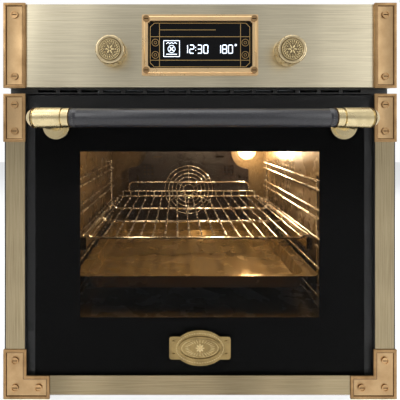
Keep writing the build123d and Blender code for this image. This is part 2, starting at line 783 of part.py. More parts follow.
# Display: stepped frame, glass, module and circuit board
bezel_width = 176.0
bezel_height = 92.0
bezel_screw_x = 81.0
bezel_screw_z = 38.6
bezel_notch = 6.8
bezel_front = front_y - 6.0
with BuildPart() as display_bezel:
    with BuildSketch(front_plane(front_y)):
        with Locations((0, display_z)):
            RectangleRounded(bezel_width, bezel_height, 2)
    extrude(amount=3)
    with BuildSketch(front_plane(front_y - 3)):
        with Locations((0, display_z)):
            RectangleRounded(bezel_width - 7, bezel_height - 7, 1.5)
    extrude(amount=3)
    chamfer(display_bezel.faces().sort_by(Axis.Y)[0].outer_wire().edges(), 1.2)
    with BuildSketch(front_plane(front_y)):
        with Locations((0, display_z)):
            Rectangle(display_width, display_height)
            with GridLocations(2 * bezel_screw_x, 2 * bezel_screw_z, 2, 2):
                Circle(bezel_notch, mode=Mode.SUBTRACT)
    extrude(amount=6, mode=Mode.SUBTRACT)
finish(display_bezel.part, "display_bezel")

with BuildPart() as fascia_screws:
    for x in (-panel_screw_x, panel_screw_x):
        for z in (fascia_bottom + panel_screw_inset, fascia_top - panel_screw_inset):
            slotted_screw(x, z, field_y, screw_radius, screw_head, screw_slot)
    for x in (-bezel_screw_x, bezel_screw_x):
        for z in (display_z - bezel_screw_z, display_z + bezel_screw_z):
            slotted_screw(x, z, bezel_front, 4.9, screw_head, screw_slot)
finish(fascia_screws.part, "fascia_screws")

glass_step = 2.0
with BuildPart() as display_glass:
    with BuildSketch(front_plane(front_y)):
        with Locations((0, display_z)):
            Rectangle(display_width - side_by_side_gap, display_height - side_by_side_gap)
            with GridLocations(2 * bezel_screw_x, 2 * bezel_screw_z, 2, 2):
                Circle(bezel_notch + side_by_side_gap / 2, mode=Mode.SUBTRACT)
    extrude(amount=glass_step)
finish(display_glass.part, "display_glass")

with BuildPart() as display_module:
    block(
        (-display_width / 2 + 6, display_width / 2 - 6),
        (-12, front_y),
        (display_z - display_height / 2 + 6, display_z + display_height / 2 - 6),
    )
finish(display_module.part, "display_module")

board_half = 170.0
with BuildPart() as control_board:
    block((-board_half, board_half), (-12, -10.4), (fascia_bottom + 12, fascia_top - 12))
    for x in (-board_half + 20, -50, 0, 50, board_half - 20):
        block((x - 9, x + 9), (-10.4, -3), (fascia_bottom + 20, fascia_bottom + 38))
    for side in (-1, 1):
        block(
            (side * board_half, side * (half_front - sheet)), (-12, -10.4),
            (display_z - 10, display_z + 10),
        )
    with BuildSketch(front_plane(-10.4)):
        with Locations((-knob_x, knob_z), (knob_x, knob_z)):
            Circle(knob_shaft_radius + 1)
    extrude(amount=1.6, mode=Mode.SUBTRACT)
finish(control_board.part, "control_board")

with BuildPart() as rotary_encoders:
    for x in (-knob_x, knob_x):
        block((x - 9, x + 9), (-19, -12), (knob_z - 9, knob_z + 9))
        straight_wire((x, -19, knob_z), (x, front_y + sheet, knob_z), 8)
        straight_wire(
            (x, -12, knob_z), (x, front_y, knob_z), knob_shaft_radius + running_clearance,
            mode=Mode.SUBTRACT,
        )
finish(rotary_encoders.part, "rotary_encoders")

# Knobs: ribbed brass body with a petalled face, and a steel shaft
knob_radius = 21.5
knob_depth = 25.0
knob_gap = 0.6
knob_ribs = 10
medal_radius = 16.0
knob_back = front_y - knob_gap
knob_front = knob_back - knob_depth
knob_bore = 12.0
for side, word in ((-1, "left"), (1, "right")):
    x = side * knob_x
    axis = Axis((x, 0, knob_z), (0, 1, 0))
    profile_plane = Plane(origin=(x, 0, knob_z), x_dir=(1, 0, 0), z_dir=(0, 0, 1))
    with BuildPart() as knob:
        with BuildSketch(profile_plane):
            with BuildLine():
                Polyline((0, knob_back), (knob_radius - 2, knob_back), (knob_radius - 2, knob_back - 3))
                Line((knob_radius - 2, knob_back - 3), (knob_radius, knob_back - 6))
                Line((knob_radius, knob_back - 6), (knob_radius, knob_front + 2.5))
                ThreePointArc(
                    (knob_radius, knob_front + 2.5),
                    (knob_radius - 1, knob_front + 0.7),
                    (knob_radius - 2.5, knob_front),
                )
                Polyline(
                    (knob_radius - 2.5, knob_front), (medal_radius + 1.5, knob_front),
                    (medal_radius, knob_front + 1.5), (0, knob_front + 1.5), (0, knob_back),
                )
            make_face()
        revolve(axis=axis)
        with BuildSketch(front_plane(knob_back - 8)):
            with Locations((x, knob_z)):
                with PolarLocations(knob_radius + 1.2, knob_ribs, start_angle=90):
                    Circle(2.8)
        extrude(amount=knob_depth, mode=Mode.SUBTRACT)
        straight_wire(
            (x, knob_back, knob_z), (x, knob_back - knob_bore, knob_z), knob_shaft_radius,
            mode=Mode.SUBTRACT,
        )
        with BuildSketch(front_plane(knob_front + 1.5)):
            with Locations((x, knob_z)):
                Circle(medal_radius - 1.5)
                Circle(medal_radius - 3, mode=Mode.SUBTRACT)
                with PolarLocations(6.5, 12):
                    Ellipse(4, 1.3)
                Circle(2.6)
        extrude(amount=0.9)
    finish(knob.part, f"{word}_knob")
    with BuildPart() as knob_shaft:
        straight_wire((x, knob_back - knob_bore, knob_z), (x, -12.4, knob_z), knob_shaft_radius)
    finish(knob_shaft.part, f"{word}_knob_shaft")

# Door switch with its sprung plunger
with BuildPart() as door_switch:
    block((plunger_x - 12, plunger_x + 12), (8, 19.5), (plunger_z - 7, plunger_z + 7))
    for x in (plunger_x - 12, plunger_x + 10):
        block((x, x + 2), (0, 8), (plunger_z - 7, plunger_z + 7))
    straight_wire(
        (plunger_x, 8, plunger_z), (plunger_x, 18, plunger_z), plunger_radius + running_clearance,
        mode=Mode.SUBTRACT,
    )
finish(door_switch.part, "door_switch")

door_back = -flange_thickness - seal_height - seal_gap
with BuildPart() as door_switch_plunger:
    straight_wire(
        (plunger_x, door_back + moving_gap, plunger_z), (plunger_x, 14, plunger_z), plunger_radius
    )
    straight_wire((plunger_x, 2, plunger_z), (plunger_x, 3.5, plunger_z), plunger_radius + 2)
finish(door_switch_plunger.part, "door_switch_plunger")

with BuildPart() as terminal_box:
    block(
        (terminal_x - 40, terminal_x + 40), (casing_depth, casing_depth + 6),
        (terminal_z - 26, terminal_z + 26),
    )
    block(
        (terminal_x - 29, terminal_x + 29), (casing_depth - 14, casing_depth),
        (terminal_z - 16, terminal_z + 16),
    )
    straight_wire(
        (terminal_x, casing_depth + 6, terminal_z - 14),
        (terminal_x, casing_depth - 10, terminal_z - 14), 5.0, mode=Mode.SUBTRACT,
    )
finish(terminal_box.part, "terminal_box")

# Hinges: receivers and arms on the casing, carriers and pins in the door
arm_eye = arm_height / 2
arm_end = 45.0
pin_radius = 2.5
hinge_centres = (-hinge_x, hinge_x)
with BuildPart() as hinge_arms:
    for x in hinge_centres:
        with BuildSketch(side_plane(x - arm_thickness / 2)):
            with Locations((hinge_y, hinge_z)):
                Circle(arm_eye)
            with Locations(((hinge_y + arm_end) / 2, hinge_z)):
                Rectangle(arm_end - hinge_y, arm_height)
            with Locations((hinge_y, hinge_z)):
                Circle(pin_radius + running_clearance, mode=Mode.SUBTRACT)
        extrude(amount=arm_thickness)
finish(hinge_arms.part, "hinge_arms")

with BuildPart() as hinge_receivers:
    for x in hinge_centres:
        block((x - 9, x + 9), (0, 60), (sheet, hinge_z + 18))
        block((x - 7, x + 7), (0, 58), (hinge_z + 9, hinge_z + 18), mode=Mode.SUBTRACT)
        block(
            (x - arm_thickness / 2, x + arm_thickness / 2), (0, arm_end),
            (hinge_z - arm_height / 2, hinge_z + arm_height / 2), mode=Mode.SUBTRACT,
        )
finish(hinge_receivers.part, "hinge_receivers")

# Door core: carriers, rails and side profiles
core_front = front_y + 4.0
rail_height = 26.0
rail_bottom = 4.0
carrier_half = 7.5
profile_inner = hinge_x + carrier_half + 0.5
core_top = door_top - 2
top_rail_height = 24.0
with BuildPart() as hinge_carriers:
    for x in hinge_centres:
        block(
            (x - carrier_half, x + carrier_half), (core_front, door_back),
            (rail_bottom, rail_bottom + rail_height),
        )
        block(
            (x - arm_thickness / 2 - 0.7, x + arm_thickness / 2 + 0.7),
            (hinge_y - arm_eye - moving_gap, door_back), (rail_bottom, hinge_z + arm_eye + 1.2),
            mode=Mode.SUBTRACT,
        )
        block(
            (x - arm_thickness / 2 - 0.7, x + arm_thickness / 2 + 0.7),
            (core_front, door_back), (rail_bottom, hinge_z - 4), mode=Mode.SUBTRACT,
        )
        straight_wire(
            (x - carrier_half, hinge_y, hinge_z), (x + carrier_half, hinge_y, hinge_z), pin_radius,
            mode=Mode.SUBTRACT,
        )
finish(hinge_carriers.part, "hinge_carriers")

with BuildPart() as hinge_pins:
    for x in hinge_centres:
        straight_wire(
            (x - carrier_half, hinge_y, hinge_z), (x + carrier_half, hinge_y, hinge_z), pin_radius
        )
finish(hinge_pins.part, "hinge_pins")

with BuildPart() as door_rails:
    block(
        (-hinge_x + carrier_half, hinge_x - carrier_half), (core_front, door_back),
        (rail_bottom, rail_bottom + rail_height),
    )
    block(
        (-profile_inner, profile_inner), (core_front, door_back),
        (core_top - top_rail_height, core_top),
    )
    with BuildSketch(Plane.XY.offset(core_top)):
        with Locations((0, (core_front + door_back) / 2)):
            with GridLocations(30, 0, 14, 1):
                SlotOverall(22, 5)
    extrude(amount=-top_rail_height + 3, mode=Mode.SUBTRACT)
finish(door_rails.part, "door_rails")

glass_half = plate_inner
handle_post_x = 217.5
rosette_z = 415.0
bolt_radius = 3.0
with BuildPart() as door_side_profiles:
    for side in (-1, 1):
        block(
            sorted((side * profile_inner, side * (half_front - 1))), (core_front, door_back),
            (rail_bottom, core_top),
        )
        block(
            sorted((side * (glass_half + side_by_side_gap), side * (half_front - 1))),
            (front_y, core_front), (rail_bottom, core_top),
        )
finish(door_side_profiles.part, "door_side_profiles")

# Door glass
pane_edge = 0.3
with BuildPart() as door_outer_glass:
    block((-glass_half, glass_half), (front_y, core_front), (rail_bottom + 2, core_top + 1))
    with BuildSketch(front_plane(front_y)):
        with Locations((-handle_post_x, rosette_z), (handle_post_x, rosette_z)):
            Circle(bolt_radius + pane_edge)
    extrude(amount=front_y - core_front, mode=Mode.SUBTRACT)
finish(door_outer_glass.part, "door_outer_glass")

pane_bottom = rail_bottom + rail_height + pane_edge
pane_top = core_top - top_rail_height - pane_edge
middle_pane_front = core_front + 4.6
middle_pane_thickness = 3.0
with BuildPart() as door_middle_glass:
    block(
        (-profile_inner + pane_edge, profile_inner - pane_edge),
        (middle_pane_front, middle_pane_front + middle_pane_thickness), (pane_bottom, pane_top),
    )
finish(door_middle_glass.part, "door_middle_glass")

with BuildPart() as door_inner_glass:
    block(
        (-profile_inner + pane_edge, profile_inner - pane_edge), (door_back - 4, door_back),
        (pane_bottom, pane_top),
    )
finish(door_inner_glass.part, "door_inner_glass")

# Brushed door strips
column_inner = plate_inner + 1.5
column_outer = half_front - 3.5
upper_plate_height = 73.0
lower_plate_height = 75.0
leg_width = 35.0
foot_length = 70.0
with BuildPart() as door_strips:
    for side in (-1, 1):
        block(
            sorted((side * column_inner, side * column_outer)), (front_y - trim_proud, front_y),
            (door_bottom + lower_plate_height + side_by_side_gap, door_top - upper_plate_height),
        )
    strip_half = half_front - foot_length - side_by_side_gap
    block((-strip_half, strip_half), (front_y - trim_proud, front_y), (rail_bottom + 4, 37.0))
finish(door_strips.part, "door_strips")

# Door corner plates

def corner_outline(side, inset):
    """The L-shaped outline of a lower corner plate, drawn inset from its edge."""
    outer = half_front - inset
    low = door_bottom + inset
    high = door_bottom + lower_plate_height - inset
    leg = half_front - leg_width + inset
    foot = half_front - foot_length + inset
    shelf = door_bottom + leg_width - inset
    Polyline(
        (side * outer, low), (side * outer, high), (side * leg, high), (side * leg, shelf),
        (side * foot, shelf), (side * foot, low), close=True,
    )


with BuildPart() as door_corner_plates:
    for side in (-1, 1):
        plate_x = side * (half_front - plate_width / 2)
        plate_z = door_top - upper_plate_height / 2
        with BuildSketch(front_plane(front_y)):
            with Locations((plate_x, plate_z)):
                RectangleRounded(plate_width, upper_plate_height, 1.5)
        extrude(amount=plate_proud)
        with BuildSketch(front_plane(face_plane)):
            with Locations((plate_x, plate_z)):
                RectangleRounded(plate_width - 2 * plate_rim, upper_plate_height - 2 * plate_rim, 6)
        extrude(amount=-1.2, mode=Mode.SUBTRACT)
        with BuildSketch(front_plane(front_y)):
            with BuildLine():
                corner_outline(side, 0)
            make_face()
        extrude(amount=plate_proud)
        with BuildSketch(front_plane(face_plane)):
            with BuildLine():
                corner_outline(side, plate_rim)
            make_face()
        extrude(amount=-1.2, mode=Mode.SUBTRACT)
finish(door_corner_plates.part, "door_corner_plates")

upper_screw_zs = (door_top - 16.5, door_top - upper_plate_height + 16.5)
leg_screw_x = half_front - leg_width / 2
foot_screw_x = half_front - foot_length + 17
low_screw_z = door_bottom + 17
# Oval name plate, left bare
badge_z = 78.6
badge_width = 93.0
badge_ear = 34.6
with BuildPart() as oval_badge:
    with BuildSketch(front_plane(front_y)):
        with Locations((0, badge_z)):
            RectangleRounded(badge_width, badge_ear, 4)
            Ellipse(39, 27)
    extrude(amount=1.5)
    with BuildSketch(front_plane(front_y - 1.5)):
        with Locations((0, badge_z)):
            Ellipse(32.5, 18)
            Ellipse(30, 15.8, mode=Mode.SUBTRACT)
    extrude(amount=1.2)
    with BuildSketch(front_plane(front_y - 1.5)):
        with Locations((0, badge_z)):
            with GridLocations(badge_width - 13, 19.2, 2, 2):
                Circle(2.2)
    extrude(amount=1.2)
finish(oval_badge.part, "oval_badge")

# Handle: steel core, leather grip, turned brass ends and posts on rosettes
handle_y = -72.0
handle_z = 425.4
grip_half = 179.8
grip_radius = 13.0
end_radius = 14.0
collar_radius = 13.4
groove_radius = 11.8
cap_radius = 13.6
end_length = 60.2
core_radius = 6.0
rosette_radius = 20.0
post_radius = 8.0
with BuildPart() as handle_grip:
    straight_wire((-grip_half, handle_y, handle_z), (grip_half, handle_y, handle_z), grip_radius)
    straight_wire(
        (-grip_half, handle_y, handle_z), (grip_half, handle_y, handle_z), core_radius,
        mode=Mode.SUBTRACT,
    )
finish(handle_grip.part, "handle_grip")

core_half = grip_half + 30
with BuildPart() as handle_core:
    straight_wire((-core_half, handle_y, handle_z), (core_half, handle_y, handle_z), core_radius)
finish(handle_core.part, "handle_core")

with BuildPart() as handle_ends:
    end_plane = Plane(origin=(0, handle_y, handle_z), x_dir=(1, 0, 0), z_dir=(0, 0, 1))
    with BuildSketch(end_plane):
        with BuildLine():
            Polyline(
                (grip_half, 0), (grip_half, collar_radius), (grip_half + 10, collar_radius),
                (grip_half + 10, groove_radius), (grip_half + 11.8, groove_radius),
                (grip_half + 11.8, end_radius), (grip_half + 46.8, end_radius),
                (grip_half + 46.8, groove_radius), (grip_half + 49.5, groove_radius),
                (grip_half + 49.5, cap_radius),
            )
            ThreePointArc(
                (grip_half + 49.5, cap_radius),
                dome_middle(grip_half + 49.5, cap_radius, grip_half + end_length),
                (grip_half + end_length, 0),
            )
            Line((grip_half + end_length, 0), (grip_half, 0))
        make_face()
    revolve(axis=Axis((0, handle_y, handle_z), (1, 0, 0)))
    straight_wire(
        (grip_half, handle_y, handle_z), (core_half, handle_y, handle_z), core_radius,
        mode=Mode.SUBTRACT,
    )
    mirror(about=Plane.YZ)
finish(handle_ends.part, "handle_ends")

with BuildPart() as handle_posts:
    for side in (-1, 1):
        x = side * handle_post_x
        with BuildSketch(front_plane(front_y)):
            with Locations((x, rosette_z)):
                Circle(rosette_radius)
        extrude(amount=3)
        with BuildSketch(front_plane(front_y - 3)):
            with Locations((x, rosette_z)):
                Circle(rosette_radius - 4)
        extrude(amount=3)
        straight_wire((x, front_y - 2, rosette_z), (x, handle_y, handle_z), post_radius)
        with Locations((x, (front_y - 4) * 0.45 + handle_y * 0.55, (rosette_z + handle_z) / 2)):
            Sphere(post_radius + 2.5)
        straight_wire(
            (side * grip_half, handle_y, handle_z),
            (side * (grip_half + end_length), handle_y, handle_z),
            end_radius, mode=Mode.SUBTRACT,
        )
finish(handle_posts.part, "handle_posts")

with BuildPart() as door_screws:
    for side in (-1, 1):
        for z in upper_screw_zs:
            slotted_screw(side * panel_screw_x, z, field_y, screw_radius, screw_head, screw_slot)
        for x, z in (
            (leg_screw_x, low_screw_z),
            (leg_screw_x, door_bottom + lower_plate_height - 17),
            (foot_screw_x, low_screw_z),
        ):
            slotted_screw(side * x, z, field_y, screw_radius, screw_head, screw_slot)
    for x in (-handle_post_x, handle_post_x):
        straight_wire((x, front_y, rosette_z), (x, core_front, rosette_z), bolt_radius)
        straight_wire((x, core_front, rosette_z), (x, core_front + 1.5, rosette_z), bolt_radius + 2)
finish(door_screws.part, "door_screws")
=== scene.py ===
# %% [markdown]
# # A built-in oven in bronze and brass
# The oven's metal parts come ready made at their real size. This lesson dresses them: it gives
# every surface its finish and models what sheet metal drawings leave out, such as the leather
# on the handle, the print behind the glass and the figures on the display.

# %% Load the fixed parts
import bpy
import bmesh
import math
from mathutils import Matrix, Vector


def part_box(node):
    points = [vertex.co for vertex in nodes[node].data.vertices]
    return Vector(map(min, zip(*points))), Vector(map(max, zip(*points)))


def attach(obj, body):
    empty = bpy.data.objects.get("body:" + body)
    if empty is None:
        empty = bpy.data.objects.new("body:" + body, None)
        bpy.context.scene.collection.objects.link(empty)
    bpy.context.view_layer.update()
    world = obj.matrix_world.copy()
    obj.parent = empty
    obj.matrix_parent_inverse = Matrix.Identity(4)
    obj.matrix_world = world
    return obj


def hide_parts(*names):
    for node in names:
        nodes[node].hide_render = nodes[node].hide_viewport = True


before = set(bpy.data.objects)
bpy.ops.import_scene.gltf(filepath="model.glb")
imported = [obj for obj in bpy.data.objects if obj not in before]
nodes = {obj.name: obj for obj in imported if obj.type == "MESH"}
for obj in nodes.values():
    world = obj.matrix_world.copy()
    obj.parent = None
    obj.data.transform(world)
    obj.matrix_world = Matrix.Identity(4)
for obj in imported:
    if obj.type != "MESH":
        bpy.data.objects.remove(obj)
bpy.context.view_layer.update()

# %% [markdown]
# ## Working habits
# Operators act on whatever is selected, so each step starts by clearing the selection, and faces
# and edges are chosen in code by where they lie. All sizes are in metres.

# %% Small helpers for modelling
MM = 0.001
SMOOTH_UNDER = math.radians(40)


def clear_selection():
    """Nothing stays selected, so an operator acts only on what is chosen next."""
    bpy.ops.object.select_all(action="DESELECT")


def choose(obj):
    """Makes one object the selected and active one."""
    clear_selection()
    obj.select_set(True)
    bpy.context.view_layer.objects.active = obj


def settle(obj):
    """Moves the object's place, turn and size into its mesh."""
    choose(obj)
    bpy.ops.object.transform_apply(location=True, rotation=True, scale=True)


def pick_faces(obj, test):
    """In edit mode, selects the faces whose centre and normal pass the test."""
    bpy.ops.mesh.select_mode(type="FACE")
    bpy.ops.mesh.select_all(action="DESELECT")
    mesh = bmesh.from_edit_mesh(obj.data)
    chosen = 0
    for face in mesh.faces:
        if test(face.calc_center_median(), face.normal):
            face.select_set(True)
            chosen += 1
    bmesh.update_edit_mesh(obj.data)
    return chosen


def apply_modifiers(obj):
    """Applies every modifier in order."""
    choose(obj)
    for modifier in list(obj.modifiers):
        bpy.ops.object.modifier_apply(modifier=modifier.name)


def bevel_edges(obj, width, angle=35):
    """Rounds the sharp edges by a small bevel and applies it."""
    bevel = obj.modifiers.new("rounding", "BEVEL")
    bevel.width = width
    bevel.segments = 3
    bevel.limit_method = "ANGLE"
    bevel.angle_limit = math.radians(angle)
    apply_modifiers(obj)
    bpy.ops.object.shade_smooth_by_angle(angle=SMOOTH_UNDER)


def join(objs, name):
    """Joins several objects into the first one."""
    clear_selection()
    for obj in objs:
        obj.select_set(True)
    bpy.context.view_layer.objects.active = objs[0]
    bpy.ops.object.join()
    objs[0].name = name
    return objs[0]


# %% [markdown]
# ## Shared effects
# Several finishes need the same effects: the straight grain of a brushed sheet with bands of painted
# reflection across it, the clouds and spots of an aged metal, and the dark in sunken places, which
# is painted shade in screw slots and tarnish on the knobs. Each effect is a node group, so that one
# good pattern serves many materials. A group gives only colours, roughness and height, and each
# material keeps its shader.

# %% Start a node group
def start_group(name, inputs, outputs):
    """A new shader group with the named sockets; returns its tree and two end nodes."""
    tree = bpy.data.node_groups.new(name, "ShaderNodeTree")
    for label, kind, value in inputs:
        socket = tree.interface.new_socket(name=label, in_out="INPUT", socket_type=kind)
        socket.default_value = value
    for label, kind in outputs:
        tree.interface.new_socket(name=label, in_out="OUTPUT", socket_type=kind)
    return tree, tree.nodes.new("NodeGroupInput"), tree.nodes.new("NodeGroupOutput")


def noise(tree, vector, scale, detail, rough=0.55):
    """A noise texture on the given coordinates."""
    node = tree.nodes.new("ShaderNodeTexNoise")
    node.inputs["Scale"].default_value = scale
    node.inputs["Detail"].default_value = detail
    node.inputs["Roughness"].default_value = rough
    tree.links.new(vector, node.inputs["Vector"])
    return node.outputs["Fac"]


def remap(tree, value, low, high, new_low, new_high):
    """Maps a value from one range to another."""
    node = tree.nodes.new("ShaderNodeMapRange")
    limits = {"From Min": low, "From Max": high, "To Min": new_low, "To Max": new_high}
    for label, number in limits.items():
        node.inputs[label].default_value = number
    tree.links.new(value, node.inputs["Value"])
    return node.outputs["Result"]


# Where the Mix node keeps its two colours and its result.
FIRST_COLOUR = 6
SECOND_COLOUR = 7
MIXED_COLOUR = 2


def blend_colours(tree, factor, first, second):
    """Mixes two colour sockets by a factor."""
    node = tree.nodes.new("ShaderNodeMix")
    node.data_type = "RGBA"
    tree.links.new(factor, node.inputs["Factor"])
    tree.links.new(first, node.inputs[FIRST_COLOUR])
    tree.links.new(second, node.inputs[SECOND_COLOUR])
    return node.outputs[MIXED_COLOUR]


def calculate(tree, operation, first, second, clamp=False):
    """One step of arithmetic; each side is a socket or a number."""
    node = tree.nodes.new("ShaderNodeMath")
    node.operation = operation
    node.use_clamp = clamp
    for side, value in enumerate((first, second)):
        if isinstance(value, float):
            node.inputs[side].default_value = value
        else:
            tree.links.new(value, node.inputs[side])
    return node.outputs[0]


def stretch(tree, vector, factors):
    """Multiplies a vector axis by axis."""
    node = tree.nodes.new("ShaderNodeVectorMath")
    node.operation = "MULTIPLY"
    tree.links.new(vector, node.inputs[0])
    tree.links.new(factors, node.inputs[1])
    return node.outputs[0]


def scale_all(tree, vector, factor):
    """Multiplies a vector or a colour by one number."""
    node = tree.nodes.new("ShaderNodeVectorMath")
    node.operation = "SCALE"
    tree.links.new(vector, node.inputs[0])
    tree.links.new(factor, node.inputs["Scale"])
    return node.outputs[0]


def object_place(tree):
    """Where a point lies on its object, in metres."""
    return tree.nodes.new("ShaderNodeTexCoord").outputs["Object"]


def one_axis(tree, vector, axis):
    """One of the three numbers of a vector."""
    node = tree.nodes.new("ShaderNodeSeparateXYZ")
    tree.links.new(vector, node.inputs[0])
    return node.outputs[axis]


def put_out(tree, end, **results):
    """Links what a group works out to its outputs of the same names."""
    for label, socket in results.items():
        tree.links.new(socket, end.inputs[label])


COLOUR = "NodeSocketColor"
NUMBER = "NodeSocketFloat"
VECTOR = "NodeSocketVector"

# %% The straight grain of a brushed sheet, with bands of painted reflection
grain_tree, grain_in, grain_out = start_group(
    "Brushed Grain With Painted Reflection Bands",
    [("Light", COLOUR, (0.7, 0.6, 0.4, 1)), ("Dark", COLOUR, (0.5, 0.4, 0.3, 1)),
     ("Stretch", VECTOR, (10, 900, 900)), ("Roughness", NUMBER, 0.35),
     ("Band Stretch", VECTOR, (1, 0, 0)), ("Band Shade", NUMBER, 0.86)],
    [("Color", COLOUR), ("Roughness", NUMBER), ("Height", NUMBER)],
)
place = object_place(grain_tree)
stretched = stretch(grain_tree, place, grain_in.outputs["Stretch"])
fine_grain = noise(grain_tree, stretched, 1.0, 5.0, 0.7)
shade = remap(grain_tree, fine_grain, 0.3, 0.7, 0.0, 1.0)
grain_colour = blend_colours(
    grain_tree, shade, grain_in.outputs["Dark"], grain_in.outputs["Light"],
)
# Soft bands of lighter and darker tone across the grain are painted reflections.
along = stretch(grain_tree, place, grain_in.outputs["Band Stretch"])
painted_reflection_bands = remap(grain_tree, noise(grain_tree, along, 7.0, 1.0), 0.4, 0.6, 0.0, 1.0)
shaded = scale_all(grain_tree, grain_colour, grain_in.outputs["Band Shade"])
reflection_banded_colour = blend_colours(grain_tree, painted_reflection_bands, shaded, grain_colour)
worn = remap(grain_tree, noise(grain_tree, place, 5.0, 2.0), 0.2, 0.8, -0.06, 0.06)
worn_rough = calculate(grain_tree, "ADD", grain_in.outputs["Roughness"], worn)
put_out(grain_tree, grain_out, Color=reflection_banded_colour, Roughness=worn_rough, Height=fine_grain)
print("brushed grain:", len(grain_tree.nodes), "nodes")

# %% The spots and clouds of an aged or moulded surface
aged_tree, aged_in, aged_out = start_group(
    "Aged Surface",
    [("Clean", COLOUR, (0.7, 0.5, 0.3, 1)), ("Tarnish", COLOUR, (0.3, 0.2, 0.1, 1)),
     ("Amount", NUMBER, 0.5), ("Roughness", NUMBER, 0.3), ("Spot Size", NUMBER, 1.0)],
    [("Color", COLOUR), ("Roughness", NUMBER), ("Height", NUMBER)],
)
sized = scale_all(aged_tree, object_place(aged_tree), aged_in.outputs["Spot Size"])
clouds = noise(aged_tree, sized, 38.0, 4.0, 0.6)
spots = noise(aged_tree, sized, 420.0, 3.0, 0.65)
cloud_mask = remap(aged_tree, clouds, 0.38, 0.68, 0.0, 1.0)
spot_mask = remap(aged_tree, spots, 0.5, 0.75, 0.0, 0.6)
both = calculate(aged_tree, "MAXIMUM", cloud_mask, spot_mask)
mask = calculate(aged_tree, "MULTIPLY", both, aged_in.outputs["Amount"], clamp=True)
aged_colour = blend_colours(
    aged_tree, mask, aged_in.outputs["Clean"], aged_in.outputs["Tarnish"],
)
rise = remap(aged_tree, both, 0.0, 1.0, -0.04, 0.14)
aged_rough = calculate(aged_tree, "ADD", aged_in.outputs["Roughness"], rise)
put_out(aged_tree, aged_out, Color=aged_colour, Roughness=aged_rough, Height=spots)
print("aged surface:", len(aged_tree.nodes), "nodes")

# %% The dark in sunken places: painted shade in screw slots, tarnish on knob faces
sunk_tree, sunk_in, sunk_out = start_group(
    "Sunken Dark",
    [("Color", COLOUR, (0.7, 0.5, 0.3, 1)), ("Dark", COLOUR, (0.1, 0.06, 0.03, 1)),
     ("Front", NUMBER, 0.0), ("From", NUMBER, 0.0002), ("Depth", NUMBER, 0.001)],
    [("Color", COLOUR)],
)
back = one_axis(sunk_tree, object_place(sunk_tree), "Y")
below = calculate(sunk_tree, "SUBTRACT", back, sunk_in.outputs["Front"])
past_start = calculate(sunk_tree, "GREATER_THAN", below, sunk_in.outputs["From"])
before_end = calculate(sunk_tree, "LESS_THAN", below, sunk_in.outputs["Depth"])
band = calculate(sunk_tree, "MULTIPLY", past_start, before_end)
sunk_colour = blend_colours(
    sunk_tree, band, sunk_in.outputs["Color"], sunk_in.outputs["Dark"],
)
put_out(sunk_tree, sunk_out, Color=sunk_colour)
print("sunken dark:", len(sunk_tree.nodes), "nodes")

# %% [markdown]
# ## Finishes
# A finish is one material: a shader with its fixed numbers, fed by one of the shared effects.
# Brushed sheets stretch the grain along one axis. Colours are written as they look on a screen, and
# one helper turns them into the linear numbers that a shader takes.

# %% Make a finish
def srgb(red, green, blue):
    """A screen colour of 0 to 255 as the linear colour that shaders take."""
    def linear(part):
        share = part / 255
        return share / 12.92 if share <= 0.04045 else ((share + 0.055) / 1.055) ** 2.4
    return (linear(red), linear(green), linear(blue), 1.0)


RELIEF_DISTANCE = 0.2 * MM


def add_relief(net, shader, height, strength, distance):
    """Shades a surface as if it rose and fell, without changing its shape."""
    relief = net.nodes.new("ShaderNodeBump")
    relief.inputs["Strength"].default_value = strength
    relief.inputs["Distance"].default_value = distance
    net.links.new(height, relief.inputs["Height"])
    net.links.new(relief.outputs["Normal"], shader.inputs["Normal"])
    return relief


def finish_with(name, tree, settings, metallic, bump):
    """A material whose colour, roughness and bump come from a shared effect."""
    material = bpy.data.materials.new(name)
    material.use_nodes = True
    net = material.node_tree
    shader = net.nodes["Principled BSDF"]
    effect = net.nodes.new("ShaderNodeGroup")
    effect.node_tree = tree
    for label, value in settings.items():
        effect.inputs[label].default_value = value
    net.links.new(effect.outputs["Color"], shader.inputs["Base Color"])
    net.links.new(effect.outputs["Roughness"], shader.inputs["Roughness"])
    add_relief(net, shader, effect.outputs["Height"], bump, RELIEF_DISTANCE)
    shader.inputs["Metallic"].default_value = metallic
    return material


def brushed(name, light, dark, grain, rough=0.34, reflection_band_axis=(1.0, 0.0, 0.0), shade=0.86):
    """A brushed metal sheet with soft bands across its grain that paint its reflections."""
    settings = {
        "Light": light, "Dark": dark, "Stretch": grain, "Roughness": rough,
        "Band Stretch": reflection_band_axis, "Band Shade": shade,
    }
    return finish_with(name, grain_tree, settings, metallic=1.0, bump=0.12)


def aged(name, clean, tarnish, amount, rough, metallic=1.0, size=1.0, bump=0.08):
    """A cast, painted or moulded surface with clouds and spots."""
    settings = {
        "Clean": clean, "Tarnish": tarnish, "Amount": amount, "Roughness": rough, "Spot Size": size,
    }
    return finish_with(name, aged_tree, settings, metallic, bump)


def darken_sunken(material, front, start, depth, dark):
    """Darkens what lies between two depths behind a front plane, such as a screw's slot."""
    net = material.node_tree
    shader = net.nodes["Principled BSDF"]
    colour = shader.inputs["Base Color"].links[0].from_socket
    effect = net.nodes.new("ShaderNodeGroup")
    effect.node_tree = sunk_tree
    effect.inputs["Front"].default_value = front
    effect.inputs["From"].default_value = start
    effect.inputs["Depth"].default_value = depth
    effect.inputs["Dark"].default_value = dark
    net.links.new(colour, effect.inputs["Color"])
    net.links.new(effect.outputs["Color"], shader.inputs["Base Color"])


# %% Brushed sheets
ALONG = 12.0
ACROSS = 900.0
ALONG_X = (ALONG, ACROSS, ACROSS)
ALONG_Y = (ACROSS, ALONG, ACROSS)
ALONG_Z = (ACROSS, ACROSS, ALONG)
